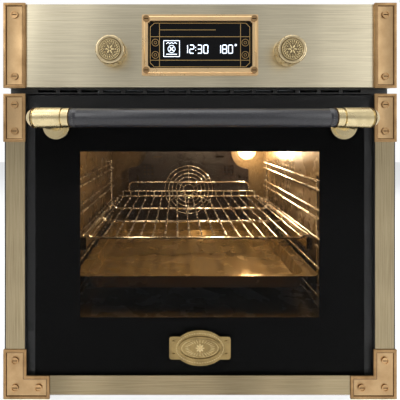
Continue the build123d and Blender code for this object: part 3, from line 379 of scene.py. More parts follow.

# On the panel the darker bands of painted reflection fall to 0.78 of its tone.
bronze_panel = brushed(
    "brushed_bronze_panel", srgb(236, 226, 198), srgb(200, 188, 160), ALONG_X, shade=0.78,
)
strip_light = srgb(170, 156, 126)
strip_dark = srgb(134, 120, 92)
bronze_strips = brushed(
    "brushed_bronze_strips", strip_light, strip_dark, ALONG_Z, reflection_band_axis=(0.0, 0.0, 1.0),
)
runner_steel = brushed(
    "runner_steel", srgb(226, 216, 198), srgb(190, 176, 150), ALONG_Y, rough=0.22,
)
print(len(bpy.data.materials), "materials")

# %% Brass of several ages
brass_face = aged(
    "antique_brass_face", srgb(182, 152, 112), srgb(150, 118, 80), amount=0.5, rough=0.36,
)
# The rim brass is darker than the face as painted shade, and the groove brass is deeper painted
# shade for the plates' steps and the handle's grooves.
rim_shade_brass = aged("antique_brass_rim_painted_shade", srgb(164, 132, 92), srgb(112, 84, 52), amount=0.6, rough=0.38)
groove_shade_brass = aged(
    "painted_shade_brass_groove", srgb(84, 60, 36), srgb(52, 36, 22), amount=0.6, rough=0.5,
)
brass_screw = aged(
    "antique_brass_screw", srgb(190, 154, 110), srgb(122, 92, 58), amount=0.6, rough=0.3,
)
door_screw = aged(
    "antique_brass_door_screw", srgb(190, 154, 110), srgb(122, 92, 58), amount=0.6, rough=0.3,
)
brass_frame = aged(
    "satin_brass_frame", srgb(252, 216, 164), srgb(206, 166, 116), amount=0.4, rough=0.3,
)
brass_knob = aged(
    "polished_brass_knob", srgb(214, 196, 158), srgb(140, 122, 88), amount=0.5, rough=0.3,
)
brass_handle = aged(
    "pale_brass_handle", srgb(212, 196, 154), srgb(154, 136, 98), amount=0.5, rough=0.24,
)
brass_badge = aged(
    "dull_brass_badge", srgb(146, 126, 84), srgb(92, 76, 48),
    amount=0.55, rough=0.36, size=1.6, bump=0.2,
)
brass_relief = aged(
    "bright_brass_relief", srgb(214, 194, 146), srgb(150, 130, 90), amount=0.4, rough=0.26,
)
print(len(bpy.data.materials), "materials")

# %% [markdown]
# Painted shade darkens the slots of the old screws, and tarnish darkens the sunken face of each
# knob.
# The fascia's screws have their heads at two depths, on the display frame and on the corner plates,
# so their brass is darkened twice.

# %% Darken what is sunken
# The dark in the screw slots is painted shade.
painted_slot_shade = srgb(52, 38, 24)
knob_dark = srgb(150, 133, 100)
slot_depth = 1.3 * MM
slot_start = 0.75 * slot_depth
slot_end = 1.1 * slot_depth
knob_start = 0.35 * MM
knob_end = 1.9 * MM
display_screw_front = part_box("fascia_screws")[0].y
plate_screw_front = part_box("door_screws")[0].y
for material, front in (
    (brass_screw, display_screw_front), (brass_screw, plate_screw_front),
    (door_screw, plate_screw_front),
):
    darken_sunken(material, front, slot_start, slot_end, painted_slot_shade)
darken_sunken(brass_knob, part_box("left_knob")[0].y, knob_start, knob_end, knob_dark)
print("slots darkened from", round(slot_start / MM, 2), "to", round(slot_end / MM, 2), "mm deep")

# %% Steel, enamel, plastic and wool
black_steel = aged(
    "satin_black_steel", srgb(26, 26, 26), srgb(16, 16, 16), amount=0.5, rough=0.45, metallic=0.0,
)
zinc_sheet = aged(
    "zinc_coated_sheet", srgb(172, 175, 178), srgb(152, 156, 160), amount=0.7, rough=0.42, size=1.7,
)
bare_steel = aged("machined_steel", srgb(205, 205, 205), srgb(150, 150, 150), amount=0.5, rough=0.3)
wire_chrome = aged("chrome_wire", srgb(255, 250, 240), srgb(214, 200, 176), amount=0.3, rough=0.2)
# The golden brown of the cavity and tray enamel is partly their own grey-brown and partly painted
# warm lamp light.
enamel = aged(
    "cavity_enamel", srgb(104, 86, 60), srgb(84, 68, 48),
    amount=0.3, rough=0.24, metallic=0.25, size=0.5, bump=0.02,
)
tray_enamel = aged(
    "tray_enamel", srgb(142, 118, 72), srgb(124, 100, 60),
    amount=0.3, rough=0.2, metallic=0.5, size=0.5, bump=0.02,
)
element_skin = aged(
    "oxidised_element", srgb(74, 68, 66), srgb(44, 40, 40), amount=0.6, rough=0.5, metallic=0.6,
)
dark_plastic = aged(
    "dark_plastic", srgb(34, 34, 35), srgb(24, 24, 25), amount=0.5, rough=0.5, metallic=0.0,
)
board_green = aged(
    "circuit_board", srgb(30, 90, 52), srgb(20, 66, 38), amount=0.5, rough=0.4, metallic=0.0,
)
wool = aged(
    "mineral_wool", srgb(214, 196, 140), srgb(170, 150, 98),
    amount=0.9, rough=0.95, metallic=0.0, bump=0.9,
)
rubber = aged(
    "seal_rubber", srgb(38, 37, 36), srgb(28, 27, 26), amount=0.5, rough=0.75, metallic=0.0,
)
baffle_enamel = aged(
    "baffle_enamel", srgb(48, 39, 36), srgb(34, 28, 26),
    amount=0.4, rough=0.3, metallic=0.2, bump=0.03,
)
print(len(bpy.data.materials), "materials")

# %% [markdown]
# ## Glass and light
# The door has three panes. Clear panes are almost invisible, so all three are mostly see through and
# keep only a faint shine, and the outer one is a little darker. The display glass is black and
# glossy. The lamp's bulb and lens glow with a warm colour, as in a lit oven.

# %% Glass, gloss and glow
def plain_shader(name):
    """A material with its own shader and nothing else."""
    material = bpy.data.materials.new(name)
    material.use_nodes = True
    return material, material.node_tree, material.node_tree.nodes["Principled BSDF"]


def faint_variation(net, shader, scale, low, high):
    """Lets the gloss of a smooth surface vary a little, as wiped glass does."""
    cloud = noise(net, object_place(net), scale, 2.0)
    net.links.new(remap(net, cloud, 0.3, 0.7, low, high), shader.inputs["Roughness"])


def clear_pane(name, colour, alpha):
    """Glass that lets most of the light through."""
    material, net, shader = plain_shader(name)
    shader.inputs["Base Color"].default_value = colour
    shader.inputs["Alpha"].default_value = alpha
    shader.inputs["Specular IOR Level"].default_value = 0.05
    faint_variation(net, shader, 9.0, 0.02, 0.07)
    return material


inner_pane = clear_pane("clear_door_pane", srgb(70, 72, 70), 0.03)
outer_pane = clear_pane("tinted_door_pane", srgb(5, 5, 5), 0.12)

gloss_black, net, shader = plain_shader("gloss_black_print")
shader.inputs["Base Color"].default_value = srgb(9, 9, 9)
shader.inputs["Specular IOR Level"].default_value = 0.04
faint_variation(net, shader, 7.0, 0.08, 0.16)

display_black, net, shader = plain_shader("display_black_glass")
shader.inputs["Base Color"].default_value = srgb(12, 12, 13)
shader.inputs["Specular IOR Level"].default_value = 0.12
faint_variation(net, shader, 30.0, 0.05, 0.12)


def glowing(name, colour, strength):
    """A surface that gives off light of its own."""
    material, _, shader = plain_shader(name)
    shader.inputs["Base Color"].default_value = colour
    shader.inputs["Roughness"].default_value = 0.3
    shader.inputs["Emission Color"].default_value = colour
    shader.inputs["Emission Strength"].default_value = strength
    return material


lamp_glow = glowing("warm_lamp_glow", srgb(255, 206, 140), 4.0)
digit_glow = glowing("cool_digit_glow", srgb(226, 238, 255), 1.6)
gold_line = aged(
    "gold_display_line", srgb(222, 186, 124), srgb(188, 150, 92), amount=0.3, rough=0.35,
)
print(len(bpy.data.materials), "materials")

# %% Dress the fixed parts
finish_of_node = {
    "front_frame": black_steel, "vent_strip": black_steel, "door_rails": black_steel,
    "door_side_profiles": black_steel, "cavity_liner": enamel, "fan_baffle": baffle_enamel,
    "base_plate": zinc_sheet, "side_panels": zinc_sheet, "rear_panel": zinc_sheet,
    "top_cover": zinc_sheet, "blower_housing": zinc_sheet, "hinge_receivers": zinc_sheet,
    "casing_screws": bare_steel, "cavity_insulation": wool, "convection_fan": bare_steel,
    "convection_motor": bare_steel, "ring_heater": element_skin, "grill_element": element_skin,
    "bottom_element": element_skin, "lamp_socket": bare_steel, "lamp_bulb": lamp_glow,
    "lamp_lens": lamp_glow, "temperature_probe": bare_steel, "side_ladders": wire_chrome,
    "runner_outer_rails": runner_steel, "runner_inner_rails": runner_steel,
    "wire_rack": wire_chrome, "baking_tray": tray_enamel, "door_seal": rubber,
    "blower_impeller": bare_steel, "blower_motor": bare_steel, "control_panel": bronze_panel,
    "fascia_screws": brass_screw, "display_bezel": brass_frame, "display_glass": display_black,
    "display_module": dark_plastic, "control_board": board_green, "rotary_encoders": bare_steel,
    "left_knob": brass_knob, "right_knob": brass_knob, "left_knob_shaft": bare_steel,
    "right_knob_shaft": bare_steel, "door_switch": dark_plastic,
    "door_switch_plunger": dark_plastic, "terminal_box": dark_plastic, "hinge_arms": bare_steel,
    "hinge_carriers": bare_steel, "hinge_pins": bare_steel, "door_outer_glass": outer_pane,
    "door_middle_glass": inner_pane, "door_inner_glass": inner_pane, "door_strips": bronze_strips,
    "door_screws": door_screw, "handle_core": bare_steel, "handle_ends": brass_handle,
    "handle_posts": brass_handle, "panel_corner_plates": brass_face,
    "door_corner_plates": brass_face, "oval_badge": brass_badge, "handle_grip": rubber,
}
for label, node in nodes.items():
    node.data.materials.clear()
    node.data.materials.append(finish_of_node[label])
print("dressed", len(finish_of_node), "parts")

# %% [markdown]
# ## Black print behind the door glass
# The outer pane looks black except for a window, because black enamel is printed on its back. A
# thin frame just behind the pane does the same: a plate cut along four lines, with its middle
# removed.

# %% Print a frame behind the pane
glass_low, glass_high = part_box("door_outer_glass")
window_half = 183 * MM
window_low = 122.3 * MM
window_high = 376 * MM
FACING_FRONT = (math.radians(90), 0, 0)
print_margin = 1 * MM
print_thickness = 0.12 * MM
print_y = glass_high.y + 0.15 * MM
print_width = glass_high.x - glass_low.x - print_margin
print_height = glass_high.z - glass_low.z - print_margin

clear_selection()
bpy.ops.mesh.primitive_plane_add(size=1, location=(0, 0, 0))
door_print = bpy.context.object
door_print.name = "door_glass_print"
door_print.scale = (print_width, print_height, 1)
door_print.rotation_euler = FACING_FRONT
door_print.location = (0, print_y, (glass_low.z + glass_high.z) / 2)
settle(door_print)
bpy.ops.object.mode_set(mode="EDIT")
for cut_x in (-window_half, window_half):
    bpy.ops.mesh.select_all(action="SELECT")
    bpy.ops.mesh.bisect(plane_co=(cut_x, 0, 0), plane_no=(1, 0, 0))
for cut_z in (window_low, window_high):
    bpy.ops.mesh.select_all(action="SELECT")
    bpy.ops.mesh.bisect(plane_co=(0, 0, cut_z), plane_no=(0, 0, 1))
holes = pick_faces(
    door_print,
    lambda c, n: abs(c.x) < window_half and window_low < c.z < window_high,
)
bpy.ops.mesh.delete(type="FACE")
bpy.ops.object.mode_set(mode="OBJECT")
thick = door_print.modifiers.new("thickness", "SOLIDIFY")
thick.thickness = print_thickness
thick.offset = 0
apply_modifiers(door_print)
door_print.data.materials.append(gloss_black)
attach(door_print, "door")
print("window faces removed:", holes)

# %% [markdown]
# ## Corner plates
# Six antique brass plates sit on the corners: two on the fascia and four on the door. Each has a
# raised rim in a darker tone, which is painted shade, round a sunken, lighter field. An inset and a
# push back make the step, and a small bevel catches the light. The rim, the field and the step
# between them each have their own material slot, and the step's dark brass is painted shade too.

# %% Model one plate
plate_low, plate_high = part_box("panel_corner_plates")
plate_back = plate_high.y
plate_front = plate_low.y
field_depth = 1.2 * MM
rim_width = 4.2 * MM
step_width = 1.0 * MM
plate_bevel = 0.7 * MM
NEAR = 0.1 * MM
RIM, FIELD, GROOVE = range(3)


def faces_front(normal):
    """Whether a face looks out at the room."""
    return normal.y < -0.9


def flat_outline(name, corners):
    """One flat face in the front plane, from its corners in order."""
    clear_selection()
    bpy.ops.mesh.primitive_plane_add(size=1)
    sheet = bpy.context.object
    sheet.name = name
    low_x, low_z, high_x, high_z = corners
    sheet.scale = (high_x - low_x, high_z - low_z, 1)
    sheet.rotation_euler = FACING_FRONT
    sheet.location = ((low_x + high_x) / 2, plate_back, (low_z + high_z) / 2)
    settle(sheet)
    return sheet


def raise_plate(plate, body):
    """Gives a flat outline its thickness, its rim and its sunken field."""
    choose(plate)
    bpy.ops.object.mode_set(mode="EDIT")
    bpy.ops.mesh.select_all(action="SELECT")
    bpy.ops.mesh.dissolve_limited(angle_limit=math.radians(1))
    bpy.ops.mesh.select_all(action="SELECT")
    bpy.ops.mesh.extrude_region_move(
        TRANSFORM_OT_translate={"value": (0, plate_front - plate_back, 0)}
    )
    bpy.ops.mesh.select_all(action="SELECT")
    bpy.ops.mesh.normals_make_consistent(inside=False)
    pick_faces(plate, lambda c, n: faces_front(n) and abs(c.y - plate_front) < MM)
    bpy.ops.mesh.inset(thickness=rim_width, depth=0)
    bpy.ops.mesh.inset(thickness=step_width, depth=-field_depth)
    bpy.ops.object.mode_set(mode="OBJECT")
    # Rim and step take darker brass than the field, as painted shade.
    for material in (rim_shade_brass, brass_face, groove_shade_brass):
        plate.data.materials.append(material)
    for face in plate.data.polygons:
        deep = abs(face.center.y - (plate_front + field_depth)) < NEAR
        face.material_index = RIM
        if deep and faces_front(face.normal):
            face.material_index = FIELD
        elif plate_front + NEAR < face.center.y < plate_front + field_depth:
            face.material_index = GROOVE
    bevel_edges(plate, plate_bevel)
    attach(plate, body)


# %% The four upright plates
half_front = plate_high.x
plate_width = 33.5 * MM
plate_inner = half_front - plate_width
door_low, door_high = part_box("door_corner_plates")
upper_plate_height = 73 * MM
plates = {"casing": [], "door": []}
for side in (-1, 1):
    word = "left" if side < 0 else "right"
    low_x, high_x = sorted((side * plate_inner, side * half_front))
    tall = flat_outline(f"panel_corner_plate_{word}", (low_x, plate_low.z, high_x, plate_high.z))
    raise_plate(tall, "casing")
    plates["casing"].append(tall)
    upper = flat_outline(
        f"door_upper_plate_{word}", (low_x, door_high.z - upper_plate_height, high_x, door_high.z)
    )
    raise_plate(upper, "door")
    plates["door"].append(upper)
print("upright plates:", sum(len(group) for group in plates.values()))

# %% [markdown]
# The lower plates are L shaped. A plate for the upright is cut at the height of the foot, and the
# lower inner edge is extruded sideways to make the foot.

# %% Model the L shaped plates
leg_width = 35 * MM
foot_length = 70 * MM
lower_plate_height = 75 * MM
for side in (-1, 1):
    word = "left" if side < 0 else "right"
    inner_edge = side * (half_front - leg_width)
    low_x, high_x = sorted((inner_edge, side * half_front))
    corner = flat_outline(
        f"door_lower_plate_{word}", (low_x, door_low.z, high_x, door_low.z + lower_plate_height)
    )
    shelf = door_low.z + leg_width
    choose(corner)
    bpy.ops.object.mode_set(mode="EDIT")
    bpy.ops.mesh.select_all(action="SELECT")
    bpy.ops.mesh.bisect(plane_co=(0, 0, shelf), plane_no=(0, 0, 1))
    bpy.ops.mesh.select_mode(type="EDGE")
    bpy.ops.mesh.select_all(action="DESELECT")
    mesh = bmesh.from_edit_mesh(corner.data)
    for edge in mesh.edges:
        middle = (edge.verts[0].co + edge.verts[1].co) / 2
        if abs(middle.x - inner_edge) < NEAR and middle.z < shelf - MM:
            edge.select_set(True)
    bmesh.update_edit_mesh(corner.data)
    bpy.ops.mesh.extrude_region_move(
        TRANSFORM_OT_translate={"value": (-side * (foot_length - leg_width), 0, 0)}
    )
    bpy.ops.object.mode_set(mode="OBJECT")
    raise_plate(corner, "door")
    plates["door"].append(corner)

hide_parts("panel_corner_plates")
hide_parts("door_corner_plates")
print("all corner plates:", sum(len(group) for group in plates.values()))

# %% [markdown]
# ## Leather grip
# The bar is wrapped in dark leather with a row of stitches near each end. The wrap is a cylinder
# with its ends opened. Near each end three cuts run round it and the middle one is drawn in, as a
# seam. The grain is a bump made of small cells. The stitches are separate short threads, set one by
# one round the grip.

# %% The leather finish
leather, net, shader = plain_shader("grained_leather")
place = object_place(net)
cells = net.nodes.new("ShaderNodeTexVoronoi")
cells.inputs["Scale"].default_value = 620.0
net.links.new(place, cells.inputs["Vector"])
tone = net.nodes.new("ShaderNodeValToRGB")
tone.color_ramp.elements[0].color = srgb(46, 46, 51)
tone.color_ramp.elements[1].color = srgb(22, 22, 26)
tone.color_ramp.elements[1].position = 0.7
net.links.new(cells.outputs["Distance"], tone.inputs["Fac"])
net.links.new(tone.outputs["Color"], shader.inputs["Base Color"])
wear = noise(net, place, 26.0, 3.0)
net.links.new(remap(net, wear, 0.3, 0.7, 0.28, 0.42), shader.inputs["Roughness"])
grain_relief = add_relief(net, shader, cells.outputs["Distance"], 0.35, 0.3 * MM)
grain_relief.invert = True
thread = aged(
    "waxed_thread", srgb(120, 118, 116), srgb(80, 78, 76), amount=0.5, rough=0.6, metallic=0.0,
)

# %% The grip
grip_low, grip_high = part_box("handle_grip")
grip_axis = Vector(((grip_low.x + grip_high.x) / 2, (grip_low.y + grip_high.y) / 2,
                    (grip_low.z + grip_high.z) / 2))
grip_radius = (grip_high.z - grip_low.z) / 2
grip_length = grip_high.x - grip_low.x
FACING_SIDE = (0, math.radians(90), 0)
leather_sink = 0.1 * MM
end_lip = 1.2 * MM
end_rounding = 0.6 * MM
seam_inset = 9 * MM
seam_half_width = 0.7 * MM
seam_depth = 0.35 * MM
clear_selection()
bpy.ops.mesh.primitive_cylinder_add(
    vertices=64, radius=grip_radius - leather_sink, depth=grip_length, location=grip_axis,
    rotation=FACING_SIDE,
)
grip = bpy.context.object
grip.name = "leather_grip"
settle(grip)
bpy.ops.object.mode_set(mode="EDIT")
pick_faces(grip, lambda c, n: abs(n.x) > 0.9)
bpy.ops.mesh.inset(thickness=end_lip, depth=0)
bpy.ops.mesh.delete(type="FACE")
seams = (-grip_length / 2 + seam_inset, grip_length / 2 - seam_inset)
for seam_x in seams:
    for shift in (-seam_half_width, 0, seam_half_width):
        bpy.ops.mesh.select_all(action="SELECT")
        bpy.ops.mesh.bisect(plane_co=(seam_x + shift, 0, 0), plane_no=(1, 0, 0))
bpy.ops.object.mode_set(mode="OBJECT")
for vertex in grip.data.vertices:
    for seam_x in seams:
        if abs(vertex.co.x - seam_x) < 2 * NEAR:
            outward = Vector((0, vertex.co.y - grip_axis.y, vertex.co.z - grip_axis.z))
            vertex.co -= outward.normalized() * seam_depth
bevel_edges(grip, end_rounding, 50)
grip.data.materials.append(leather)
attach(grip, "door")
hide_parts("handle_grip")
print("grip:", len(grip.data.polygons), "faces")

# %% Stitches near its ends
stitch_rows = 26
stitch_inset = 5 * MM
stitch_sink = 0.15 * MM
stitch_radius = 0.32 * MM
stitch_shape = (3.4, 1, 1)


def add_bead(middle, radius, shape, rotation=(0, 0, 0), steps=14, rows=8):
    """A sphere stretched to the given shape, as a new object."""
    clear_selection()
    bpy.ops.mesh.primitive_uv_sphere_add(
        segments=steps, ring_count=rows, radius=radius, scale=shape, rotation=rotation,
        location=middle,
    )
    return bpy.context.object


stitches = []
for end in (-1, 1):
    for row in range(stitch_rows):
        angle = 2 * math.pi * row / stitch_rows
        stitch_middle = grip_axis + Vector((
            end * (grip_length / 2 - stitch_inset),
            math.cos(angle) * (grip_radius - stitch_sink),
            math.sin(angle) * (grip_radius - stitch_sink),
        ))
        stitches.append(add_bead(stitch_middle, stitch_radius, stitch_shape, steps=8, rows=5))
stitching = join(stitches, "grip_stitches")
settle(stitching)
bpy.ops.object.shade_smooth()
stitching.data.materials.append(thread)
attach(stitching, "door")
print("stitches:", 2 * stitch_rows)

# %% [markdown]
# ## Grain of the bottom strip
# The strips beside the glass are brushed upwards and the one below it is brushed sideways. One
# material does both: a second copy of the grain's colour takes over below a height that lies a
# little above the bottom strip.

# %% Turn the grain at the bottom
turn_height = 50 * MM
net = bronze_strips.node_tree
across = net.nodes.new("ShaderNodeGroup")
across.node_tree = grain_tree
across.inputs["Light"].default_value = strip_light
across.inputs["Dark"].default_value = strip_dark
across.inputs["Stretch"].default_value = ALONG_X
# On the bottom strip the bands of painted reflection are deeper, down to 0.62 of its tone.
across.inputs["Band Shade"].default_value = 0.62
height = one_axis(net, object_place(net), "Z")
low_down = calculate(net, "LESS_THAN", height, turn_height)
shader = net.nodes["Principled BSDF"]
upright = shader.inputs["Base Color"].links[0].from_socket
turned = blend_colours(net, low_down, upright, across.outputs["Color"])
net.links.new(turned, shader.inputs["Base Color"])
print("grain turned below", turn_height, "m")

# %% [markdown]
# ## Fan guard
# At the back of the cavity a guard of round wires covers the fan: rings of growing size, held by
# six spokes.

# %% Rings and spokes
fan_low, fan_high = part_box("convection_fan")
baffle_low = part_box("fan_baffle")[0]
fan_middle = Vector(((fan_low.x + fan_high.x) / 2, baffle_low.y, (fan_low.z + fan_high.z) / 2))
guard_wire = 1.2 * MM
first_ring = 16 * MM
ring_pitch = 11 * MM
ring_count = 6
spoke_count = 6
spoke_wire = 1.1 * MM
spoke_length = 55 * MM
spoke_reach = 43.5 * MM
spoke_start = 30


def add_ring(middle, rotation, radius, bar, steps, bar_steps=8):
    """A round bar bent into a ring, as a new object."""
    clear_selection()
    bpy.ops.mesh.primitive_torus_add(
        location=middle, rotation=rotation, major_radius=radius, minor_radius=bar,
        major_segments=steps, minor_segments=bar_steps,
    )
    return bpy.context.object


guard = []
for number in range(ring_count):
    guard_radius = first_ring + number * ring_pitch
    guard.append(add_ring(fan_middle, FACING_FRONT, guard_radius, guard_wire, 64))
for spoke in range(spoke_count):
    angle = math.radians(360 / spoke_count * spoke + spoke_start)
    outwards = Vector((spoke_reach * math.cos(angle), 0, spoke_reach * math.sin(angle)))
    clear_selection()
    bpy.ops.mesh.primitive_cylinder_add(
        vertices=10, radius=spoke_wire, depth=spoke_length, location=fan_middle + outwards,
        rotation=(0, math.radians(90) - angle, 0),
    )
    guard.append(bpy.context.object)
fan_guard = join(guard, "fan_guard")
settle(fan_guard)
bpy.ops.object.shade_smooth()
fan_guard.data.materials.append(wire_chrome)
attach(fan_guard, "casing")
print("fan guard:", len(fan_guard.data.polygons), "faces")

# %% [markdown]
# ## Ornament on the oval plate
# The oval plate under the window carries only a plain ornament: a beaded edge, a raised ring, and a
# rosette of petals with rays round it. Each bead, petal and ray is a scaled sphere, set by its angle
# on an ellipse.

# %% Helpers for the ornament
badge_low, badge_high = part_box("oval_badge")
ring_rise = 1.2 * MM
badge_middle = Vector((0, badge_low.y + ring_rise, (badge_low.z + badge_high.z) / 2))
ornament = []


def bead(x, z, radius, shape, turn=0.0):
    """A flattened sphere on the front of the oval plate."""
    spot = badge_middle + Vector((x, 0, z))
    ornament.append(add_bead(spot, radius, shape, (0, -turn, 0)))


def on_ellipse(half_width, half_height, angle):
    """The point of an ellipse at an angle, from its middle."""
    return half_width * math.cos(angle), half_height * math.sin(angle)


def oval_ring(half_width, half_height, thickness):
    """A round bar bent into an oval on the plate."""
    ring = add_ring(badge_middle, FACING_FRONT, half_width, thickness, 72, 10)
    settle(ring)
    for vertex in ring.data.vertices:
        vertex.co.z = badge_middle.z + (vertex.co.z - badge_middle.z) * half_height / half_width
    ornament.append(ring)


# %% Ring, beads, rays and rosette
bead_count = 56
bead_radius = 0.9 * MM
bead_shape = (1, 0.8, 1)
ray_count = 28
ray_half = 3.4 * MM
ray_shape = (1, 0.14, 0.14)
petal_count = 8
petal_reach = 4.2 * MM
petal_half = 2.6 * MM
petal_shape = (1, 0.3, 0.5)

oval_ring(27.6 * MM, 13.4 * MM, 0.5 * MM)
for number in range(bead_count):
    angle = 2 * math.pi * number / bead_count
    x, z = on_ellipse(35.6 * MM, 22.4 * MM, angle)
    bead(x, z, bead_radius, bead_shape)
for number in range(ray_count):
    angle = 2 * math.pi * number / ray_count
    x, z = on_ellipse(19.5 * MM, 10.2 * MM, angle)
    bead(x, z, ray_half, ray_shape, math.atan2(z, x))
for number in range(petal_count):
    angle = 2 * math.pi * number / petal_count
    x, z = on_ellipse(petal_reach, petal_reach, angle)
    bead(x, z, petal_half, petal_shape, angle)
bead(0, 0, 1.8 * MM, (1, 0.7, 1))
badge_ornament = join(ornament, "badge_ornament")
settle(badge_ornament)
bpy.ops.object.shade_smooth()
badge_ornament.data.materials.append(brass_relief)
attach(badge_ornament, "door")
print("ornament shapes:", len(badge_ornament.data.polygons), "faces")

# %% [markdown]
# ## Rosettes on the knobs
# Each knob's face has a low relief: a ring, two wreaths of small leaves and a flower of six petals.
# The relief turns with its knob, because it rides on the knob's own body.

# %% One relief for each knob
face_depth = 0.9 * MM
rim_radius = 14.6 * MM
rim_bar = 0.45 * MM
leaf_rise = 0.32
# Each row has a count, a reach from the middle, a length, a width to that length and a slant.
leaf_rows = (
    (24, 11.6 * MM, 2.1 * MM, 0.34, 0.5),
    (12, 8.4 * MM, 1.5 * MM, 0.4, 1.1),
    (6, 4.0 * MM, 2.7 * MM, 0.42, 0.0),
)
for knob, body in (("left_knob", "left_dial"), ("right_knob", "right_dial")):
    knob_low, knob_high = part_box(knob)
    face_middle = Vector(((knob_low.x + knob_high.x) / 2, knob_low.y + face_depth,
                          (knob_low.z + knob_high.z) / 2))
    relief_parts = [add_ring(face_middle, FACING_FRONT, rim_radius, rim_bar, 56)]
    for count, reach, length, width, slant in leaf_rows:
        for number in range(count):
            angle = 2 * math.pi * number / count
            leaf_middle = face_middle + Vector((
                reach * math.cos(angle), 0, reach * math.sin(angle),
            ))
            relief_parts.append(add_bead(
                leaf_middle, length, (1, leaf_rise, width), (0, -angle - slant, 0), steps=12,
            ))
    rosette = join(relief_parts, f"{knob}_rosette")
    settle(rosette)
    bpy.ops.object.shade_smooth()
    rosette.data.materials.append(brass_relief)
    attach(rosette, body)
    print(rosette.name, "has", len(rosette.data.polygons), "faces")

# %% [markdown]
# ## Rings of painted shade on the handle
# Where leather meets brass, and before the end caps, a thin dark ring lies in the groove as painted
# shade.

# %% Four rings of painted shade
shade_bar = 0.6 * MM
leather_end = (grip_length / 2 + shade_bar, 13.3 * MM)
cap_start = (230.5 * MM, 13.35 * MM)
rings = []
for ring_x, shade_radius in (leather_end, cap_start):
    for side in (-1, 1):
        spot = (side * ring_x, grip_axis.y, grip_axis.z)
        rings.append(add_ring(spot, FACING_SIDE, shade_radius, shade_bar, 64))
handle_rings = join(rings, "handle_painted_shade_rings")
settle(handle_rings)
bpy.ops.object.shade_smooth()
handle_rings.data.materials.append(groove_shade_brass)
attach(handle_rings, "door")
print("handle rings:", len(rings))

# %% [markdown]
# ## The display
# Behind the black glass the display shows gold lines that divide it, touch rings at the sides, an
# oven symbol and lit figures. All are thin raised shapes just in front of the glass. The figures
# are seven segment numbers, so one helper draws the bars that a number needs.

# %% Helpers for the display
screen_low, screen_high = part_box("display_glass")
screen_z = (screen_low.z + screen_high.z) / 2
ink_y = screen_low.y - 0.12 * MM
ink_thickness = 0.2 * MM


def ink_bar(low_x, low_z, high_x, high_z):
    """A thin flat bar on the display."""
    clear_selection()
    bpy.ops.mesh.primitive_cube_add(
        size=1, location=((low_x + high_x) / 2, ink_y, (low_z + high_z) / 2),
        scale=(high_x - low_x, ink_thickness, high_z - low_z),
    )
    return bpy.context.object


def ink_column(x, low_z, high_z, width):
    """An upright line on the display."""
    return ink_bar(x - width / 2, low_z, x + width / 2, high_z)


def ink_row(z, low_x, high_x, width):
    """A level line on the display."""
    return ink_bar(low_x, z - width / 2, high_x, z + width / 2)


def ink_ring(x, z, radius, width):
    """A thin flat ring on the display."""
    return add_ring((x, ink_y, z), FACING_FRONT, radius, width / 2, 32, 6)


def finish_ink(objs, name, material):
    """Joins display shapes, settles them and lets them ride on the casing."""
    shape = join(objs, name)
    settle(shape)
    shape.data.materials.append(material)
    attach(shape, "casing")


# %% Lines and touch rings
line = 0.7 * MM
frame_x = 75.3 * MM
frame_z = 33 * MM
chamfer = 6 * MM
chamfer_reach = 0.72 * chamfer
divider_x = frame_x - 14 * MM
upper_row = 12.5 * MM
lower_row = -23 * MM
title_row = 22.85 * MM
title_end = 24 * MM
lines = []
for x in (-frame_x, frame_x):
    lines.append(ink_column(x, screen_z - frame_z + chamfer, screen_z + frame_z - chamfer, line))
for z in (-frame_z, frame_z):
    lines.append(ink_row(screen_z + z, -frame_x + chamfer, frame_x - chamfer, line))
for side in (-1, 1):
    for rise in (-1, 1):
        corner_x = side * (frame_x - chamfer / 2)
        corner_z = screen_z + rise * (frame_z - chamfer / 2)
        corner_bar = ink_row(0, -chamfer_reach, chamfer_reach, line)
        corner_bar.location = (corner_x, ink_y, corner_z)
        corner_bar.rotation_euler = (0, side * rise * math.radians(45), 0)
        lines.append(corner_bar)
for x in (-divider_x, divider_x):
    lines.append(ink_column(x, screen_z - frame_z, screen_z + frame_z, line))
for z in (upper_row, lower_row):
    lines.append(ink_row(screen_z + z, -frame_x, frame_x, line))
lines.append(ink_row(screen_z + title_row, -divider_x, title_end, line))

touch_columns = (-67.5 * MM, 68.5 * MM)
touch_rows = (3.6 * MM, -15 * MM)
outer_touch = (5.2 * MM, 0.8 * MM)
inner_touch = (2.0 * MM, 0.7 * MM)
for x in touch_columns:
    for z in touch_rows:
        for ring_radius, ring_width in (outer_touch, inner_touch):
            lines.append(ink_ring(x, screen_z + z, ring_radius, ring_width))
finish_ink(lines, "display_gold_lines", gold_line)
print("lines and touch rings:", len(lines))

# %% One seven segment number
SEGMENTS = {
    "0": "abcdef", "1": "bc", "2": "abged", "3": "abgcd", "8": "abcdefg",
}
digit_width = 6.2 * MM
digit_height = 12.4 * MM
stroke = 1.2 * MM
stroke_gap = 0.35 * stroke


def digit(character, x, z):
    """The bars of one seven segment number, with its lower left corner at x, z."""
    half = digit_height / 2
    spans = {
        "a": (0, digit_height, digit_width, digit_height), "g": (0, half, digit_width, half),
        "d": (0, 0, digit_width, 0), "f": (0, half, 0, digit_height), "e": (0, 0, 0, half),
        "b": (digit_width, half, digit_width, digit_height),
        "c": (digit_width, 0, digit_width, half),
    }
    bars = []
    for segment in SEGMENTS[character]:
        x0, z0, x1, z1 = spans[segment]
        short_x, short_z = (stroke_gap, -stroke / 2) if z0 == z1 else (-stroke / 2, stroke_gap)
        bars.append(ink_bar(x + x0 + short_x, z + z0 + short_z, x + x1 - short_x, z + z1 - short_z))
    return bars


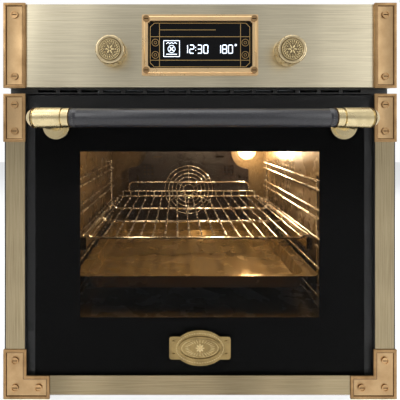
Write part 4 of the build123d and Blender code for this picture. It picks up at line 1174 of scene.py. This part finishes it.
# %% The time and the temperature
digit_z = screen_z - 12.5 * MM
time_left = -25 * MM
time_pitch = 9.4 * MM
colon_room = 2.5 * MM
colon_x = -6.6 * MM
heat_left = 25 * MM
heat_pitch = 9.0 * MM
degree_x = 54 * MM
degree_radius = 1.3 * MM
figures = []
for place_number, character in enumerate("1230"):
    room = colon_room if place_number > 1 else 0
    figures += digit(character, time_left + place_number * time_pitch + room, digit_z)
for dot in (3.6 * MM, 8.4 * MM):
    figures.append(ink_column(colon_x, digit_z + dot, digit_z + dot + stroke, stroke))
for place_number, character in enumerate("180"):
    figures += digit(character, heat_left + place_number * heat_pitch, digit_z)
figures.append(ink_ring(degree_x, digit_z + digit_height, degree_radius, line))

# %% The oven symbol, with its fan and its heating wire
symbol_x = -43 * MM
symbol_z = screen_z - 5.5 * MM
symbol_half = 12 * MM
symbol_line = 0.8 * MM
inner_half = 8 * MM
shelf_drop = 8.5 * MM
shelf_line = 1 * MM
fan_z = symbol_z - 0.5 * MM
fan_radius = 5.4 * MM
blade_reach = 2.2 * MM
blade_half = 2 * MM
blade_shape = (1.0, 0.06, 0.42)
wire_z = symbol_z + 8.4 * MM
wire_links = 6
link_length = 3.6 * MM
link_slope = 40
for x in (-symbol_half, symbol_half):
    figures.append(ink_column(
        symbol_x + x, symbol_z - symbol_half, symbol_z + symbol_half, symbol_line,
    ))
for z in (-symbol_half, symbol_half):
    figures.append(ink_row(
        symbol_z + z, symbol_x - symbol_half, symbol_x + symbol_half, symbol_line,
    ))
figures.append(ink_row(
    symbol_z - shelf_drop, symbol_x - inner_half, symbol_x + inner_half, shelf_line,
))
figures.append(ink_ring(symbol_x, fan_z, fan_radius, line))
for blade in range(4):
    angle = math.radians(45 + 90 * blade)
    blade_middle = (
        symbol_x + blade_reach * math.cos(angle), ink_y, fan_z + blade_reach * math.sin(angle),
    )
    figures.append(add_bead(
        blade_middle, blade_half, blade_shape, (0, -angle, 0), steps=10, rows=6,
    ))
for step in range(wire_links):
    x = symbol_x - inner_half + 2 * inner_half * (step + 0.5) / wire_links
    clear_selection()
    bpy.ops.mesh.primitive_cube_add(
        size=1, location=(x, ink_y, wire_z), scale=(link_length, ink_thickness, line),
        rotation=(0, math.radians(link_slope if step % 2 else -link_slope), 0),
    )
    figures.append(bpy.context.object)
finish_ink(figures, "display_figures", digit_glow)
print("figures and symbol:", len(figures), "shapes")

# %% [markdown]
# ## Stage, light and camera
# The oven stands on a pale plinth above a pale floor, so that its door can swing down in front.
# Wide soft lamps light it evenly, and three small warm lamps inside light the cavity, as in a
# working oven. The camera looks straight at the front and is shifted, so that upright lines stay
# upright.

# %% The stage
pale, net, shader = plain_shader("pale_stage")
shader.inputs["Base Color"].default_value = (0.93, 0.93, 0.93, 1)
shader.inputs["Roughness"].default_value = 0.9
floor_z = -0.1
floor_size = 9
plinth_gap = 0.5 * MM
plinth_width = 0.54
plinth_depth = 0.52
plinth_y = 0.274
clear_selection()
bpy.ops.mesh.primitive_plane_add(size=floor_size, location=(0, 0.5, floor_z))
floor = bpy.context.object
floor.name = "floor"
floor.data.materials.append(pale)
clear_selection()
bpy.ops.mesh.primitive_cube_add(
    size=1, location=(0, plinth_y, floor_z / 2 - plinth_gap),
    scale=(plinth_width, plinth_depth, -floor_z - 2 * plinth_gap),
)
plinth = bpy.context.object
plinth.name = "plinth"
plinth.data.materials.append(pale)


# %% Lamps
def hang(name, data, power, place):
    """Puts a lamp of the given power in its place."""
    data.energy = power
    lamp = bpy.data.objects.new(name, data)
    bpy.context.scene.collection.objects.link(lamp)
    lamp.location = place
    return lamp


def area_lamp(name, place, target, size, power):
    """A wide soft lamp that looks at the target."""
    data = bpy.data.lights.new(name, "AREA")
    data.shape = "RECTANGLE"
    data.size, data.size_y = size
    lamp = hang(name, data, power, place)
    lamp.rotation_euler = (Vector(target) - Vector(place)).to_track_quat("-Z", "Y").to_euler()


def cavity_lamp(name, place, power, radius, colour):
    """A small round lamp inside the oven."""
    data = bpy.data.lights.new(name, "POINT")
    data.color = colour
    data.shadow_soft_size = radius
    hang(name, data, power, place)


oven_middle = (0, 0, 0.3)
area_lamp("left_soft_lamp", (-1.7, -1.5, 1.6), oven_middle, (1.4, 1.6), 22)
area_lamp("right_soft_lamp", (1.9, -1.2, 1.0), oven_middle, (1.2, 1.6), 13)
area_lamp("top_soft_lamp", (0, -0.4, 2.4), oven_middle, (2.2, 1.4), 26)
area_lamp("back_soft_lamp", (0.6, 2.4, 1.4), oven_middle, (1.6, 1.2), 20)

lens_low, lens_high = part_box("lamp_lens")
lens_gap = 0.03
lens_middle = (
    (lens_low.x + lens_high.x) / 2, lens_low.y - lens_gap, (lens_low.z + lens_high.z) / 2,
)
warm = (1.0, 0.76, 0.47)
cavity_lamp("oven_lamp_light", lens_middle, 2.0, 0.02, warm)
cavity_lamp("roof_glow", (0.06, 0.12, 0.4), 3.6, 0.012, warm)
cavity_lamp("left_glow", (-0.12, 0.08, 0.37), 0.8, 0.03, warm)
print("lamps:", len(bpy.data.lights))

# %% [markdown]
# The background is plain white where the camera looks past the oven or through its glass. What the
# metal mirrors of it is grey in front and lightens to white towards the sides, as a room with less
# light in front of the oven would look. All its other light is a soft, slightly cool white.

# %% The background
world = bpy.data.worlds.new("studio")
bpy.context.scene.world = world
world.use_nodes = True
net = world.node_tree
net.nodes.clear()
paths = net.nodes.new("ShaderNodeLightPath")
seen = calculate(
    net, "MAXIMUM", paths.outputs["Is Camera Ray"], paths.outputs["Is Transmission Ray"],
)
seen_or_mirrored = calculate(net, "MAXIMUM", seen, paths.outputs["Is Glossy Ray"])
soft = net.nodes.new("ShaderNodeBackground")
soft.inputs["Color"].default_value = (0.97, 0.98, 1.0, 1)
soft.inputs["Strength"].default_value = 0.8
white = net.nodes.new("ShaderNodeBackground")
white.inputs["Strength"].default_value = 1.0
direction = net.nodes.new("ShaderNodeTexCoord").outputs["Generated"]
tint = net.nodes.new("ShaderNodeValToRGB")
tint.color_ramp.elements[0].position = 0.0
tint.color_ramp.elements[0].color = (0.42, 0.42, 0.42, 1)
tint.color_ramp.elements[1].position = 0.62
tint.color_ramp.elements[1].color = (1, 1, 1, 1)
front_to_back = remap(net, one_axis(net, direction, "Y"), -1.0, 0.6, 0.0, 1.0)
net.links.new(front_to_back, tint.inputs["Fac"])
shown = net.nodes.new("ShaderNodeMix")
shown.data_type = "RGBA"
shown.inputs[SECOND_COLOUR].default_value = (1, 1, 1, 1)
net.links.new(seen, shown.inputs["Factor"])
net.links.new(tint.outputs["Color"], shown.inputs[FIRST_COLOUR])
net.links.new(shown.outputs[MIXED_COLOUR], white.inputs["Color"])
blend = net.nodes.new("ShaderNodeMixShader")
net.links.new(seen_or_mirrored, blend.inputs[0])
net.links.new(soft.outputs[0], blend.inputs[1])
net.links.new(white.outputs[0], blend.inputs[2])
out = net.nodes.new("ShaderNodeOutputWorld")
net.links.new(blend.outputs[0], out.inputs["Surface"])
bpy.context.scene.view_settings.view_transform = "Standard"
print("background:", len(net.nodes), "nodes")

# %% The camera
camera_distance = 0.5
front_y = -22 * MM
sensor_width = 36
seen_width = 0.6076
camera_data = bpy.data.cameras.new("camera")
camera_data.sensor_width = sensor_width
camera_data.lens = sensor_width * camera_distance / seen_width
camera_data.shift_x = 0.0575
camera_data.shift_y = -0.17
camera = bpy.data.objects.new("camera", camera_data)
bpy.context.scene.collection.objects.link(camera)
camera.location = (-34.8 * MM, front_y - camera_distance, 406 * MM)
camera.rotation_euler = FACING_FRONT
bpy.context.scene.camera = camera
print("camera lens:", round(camera_data.lens, 2), "mm")
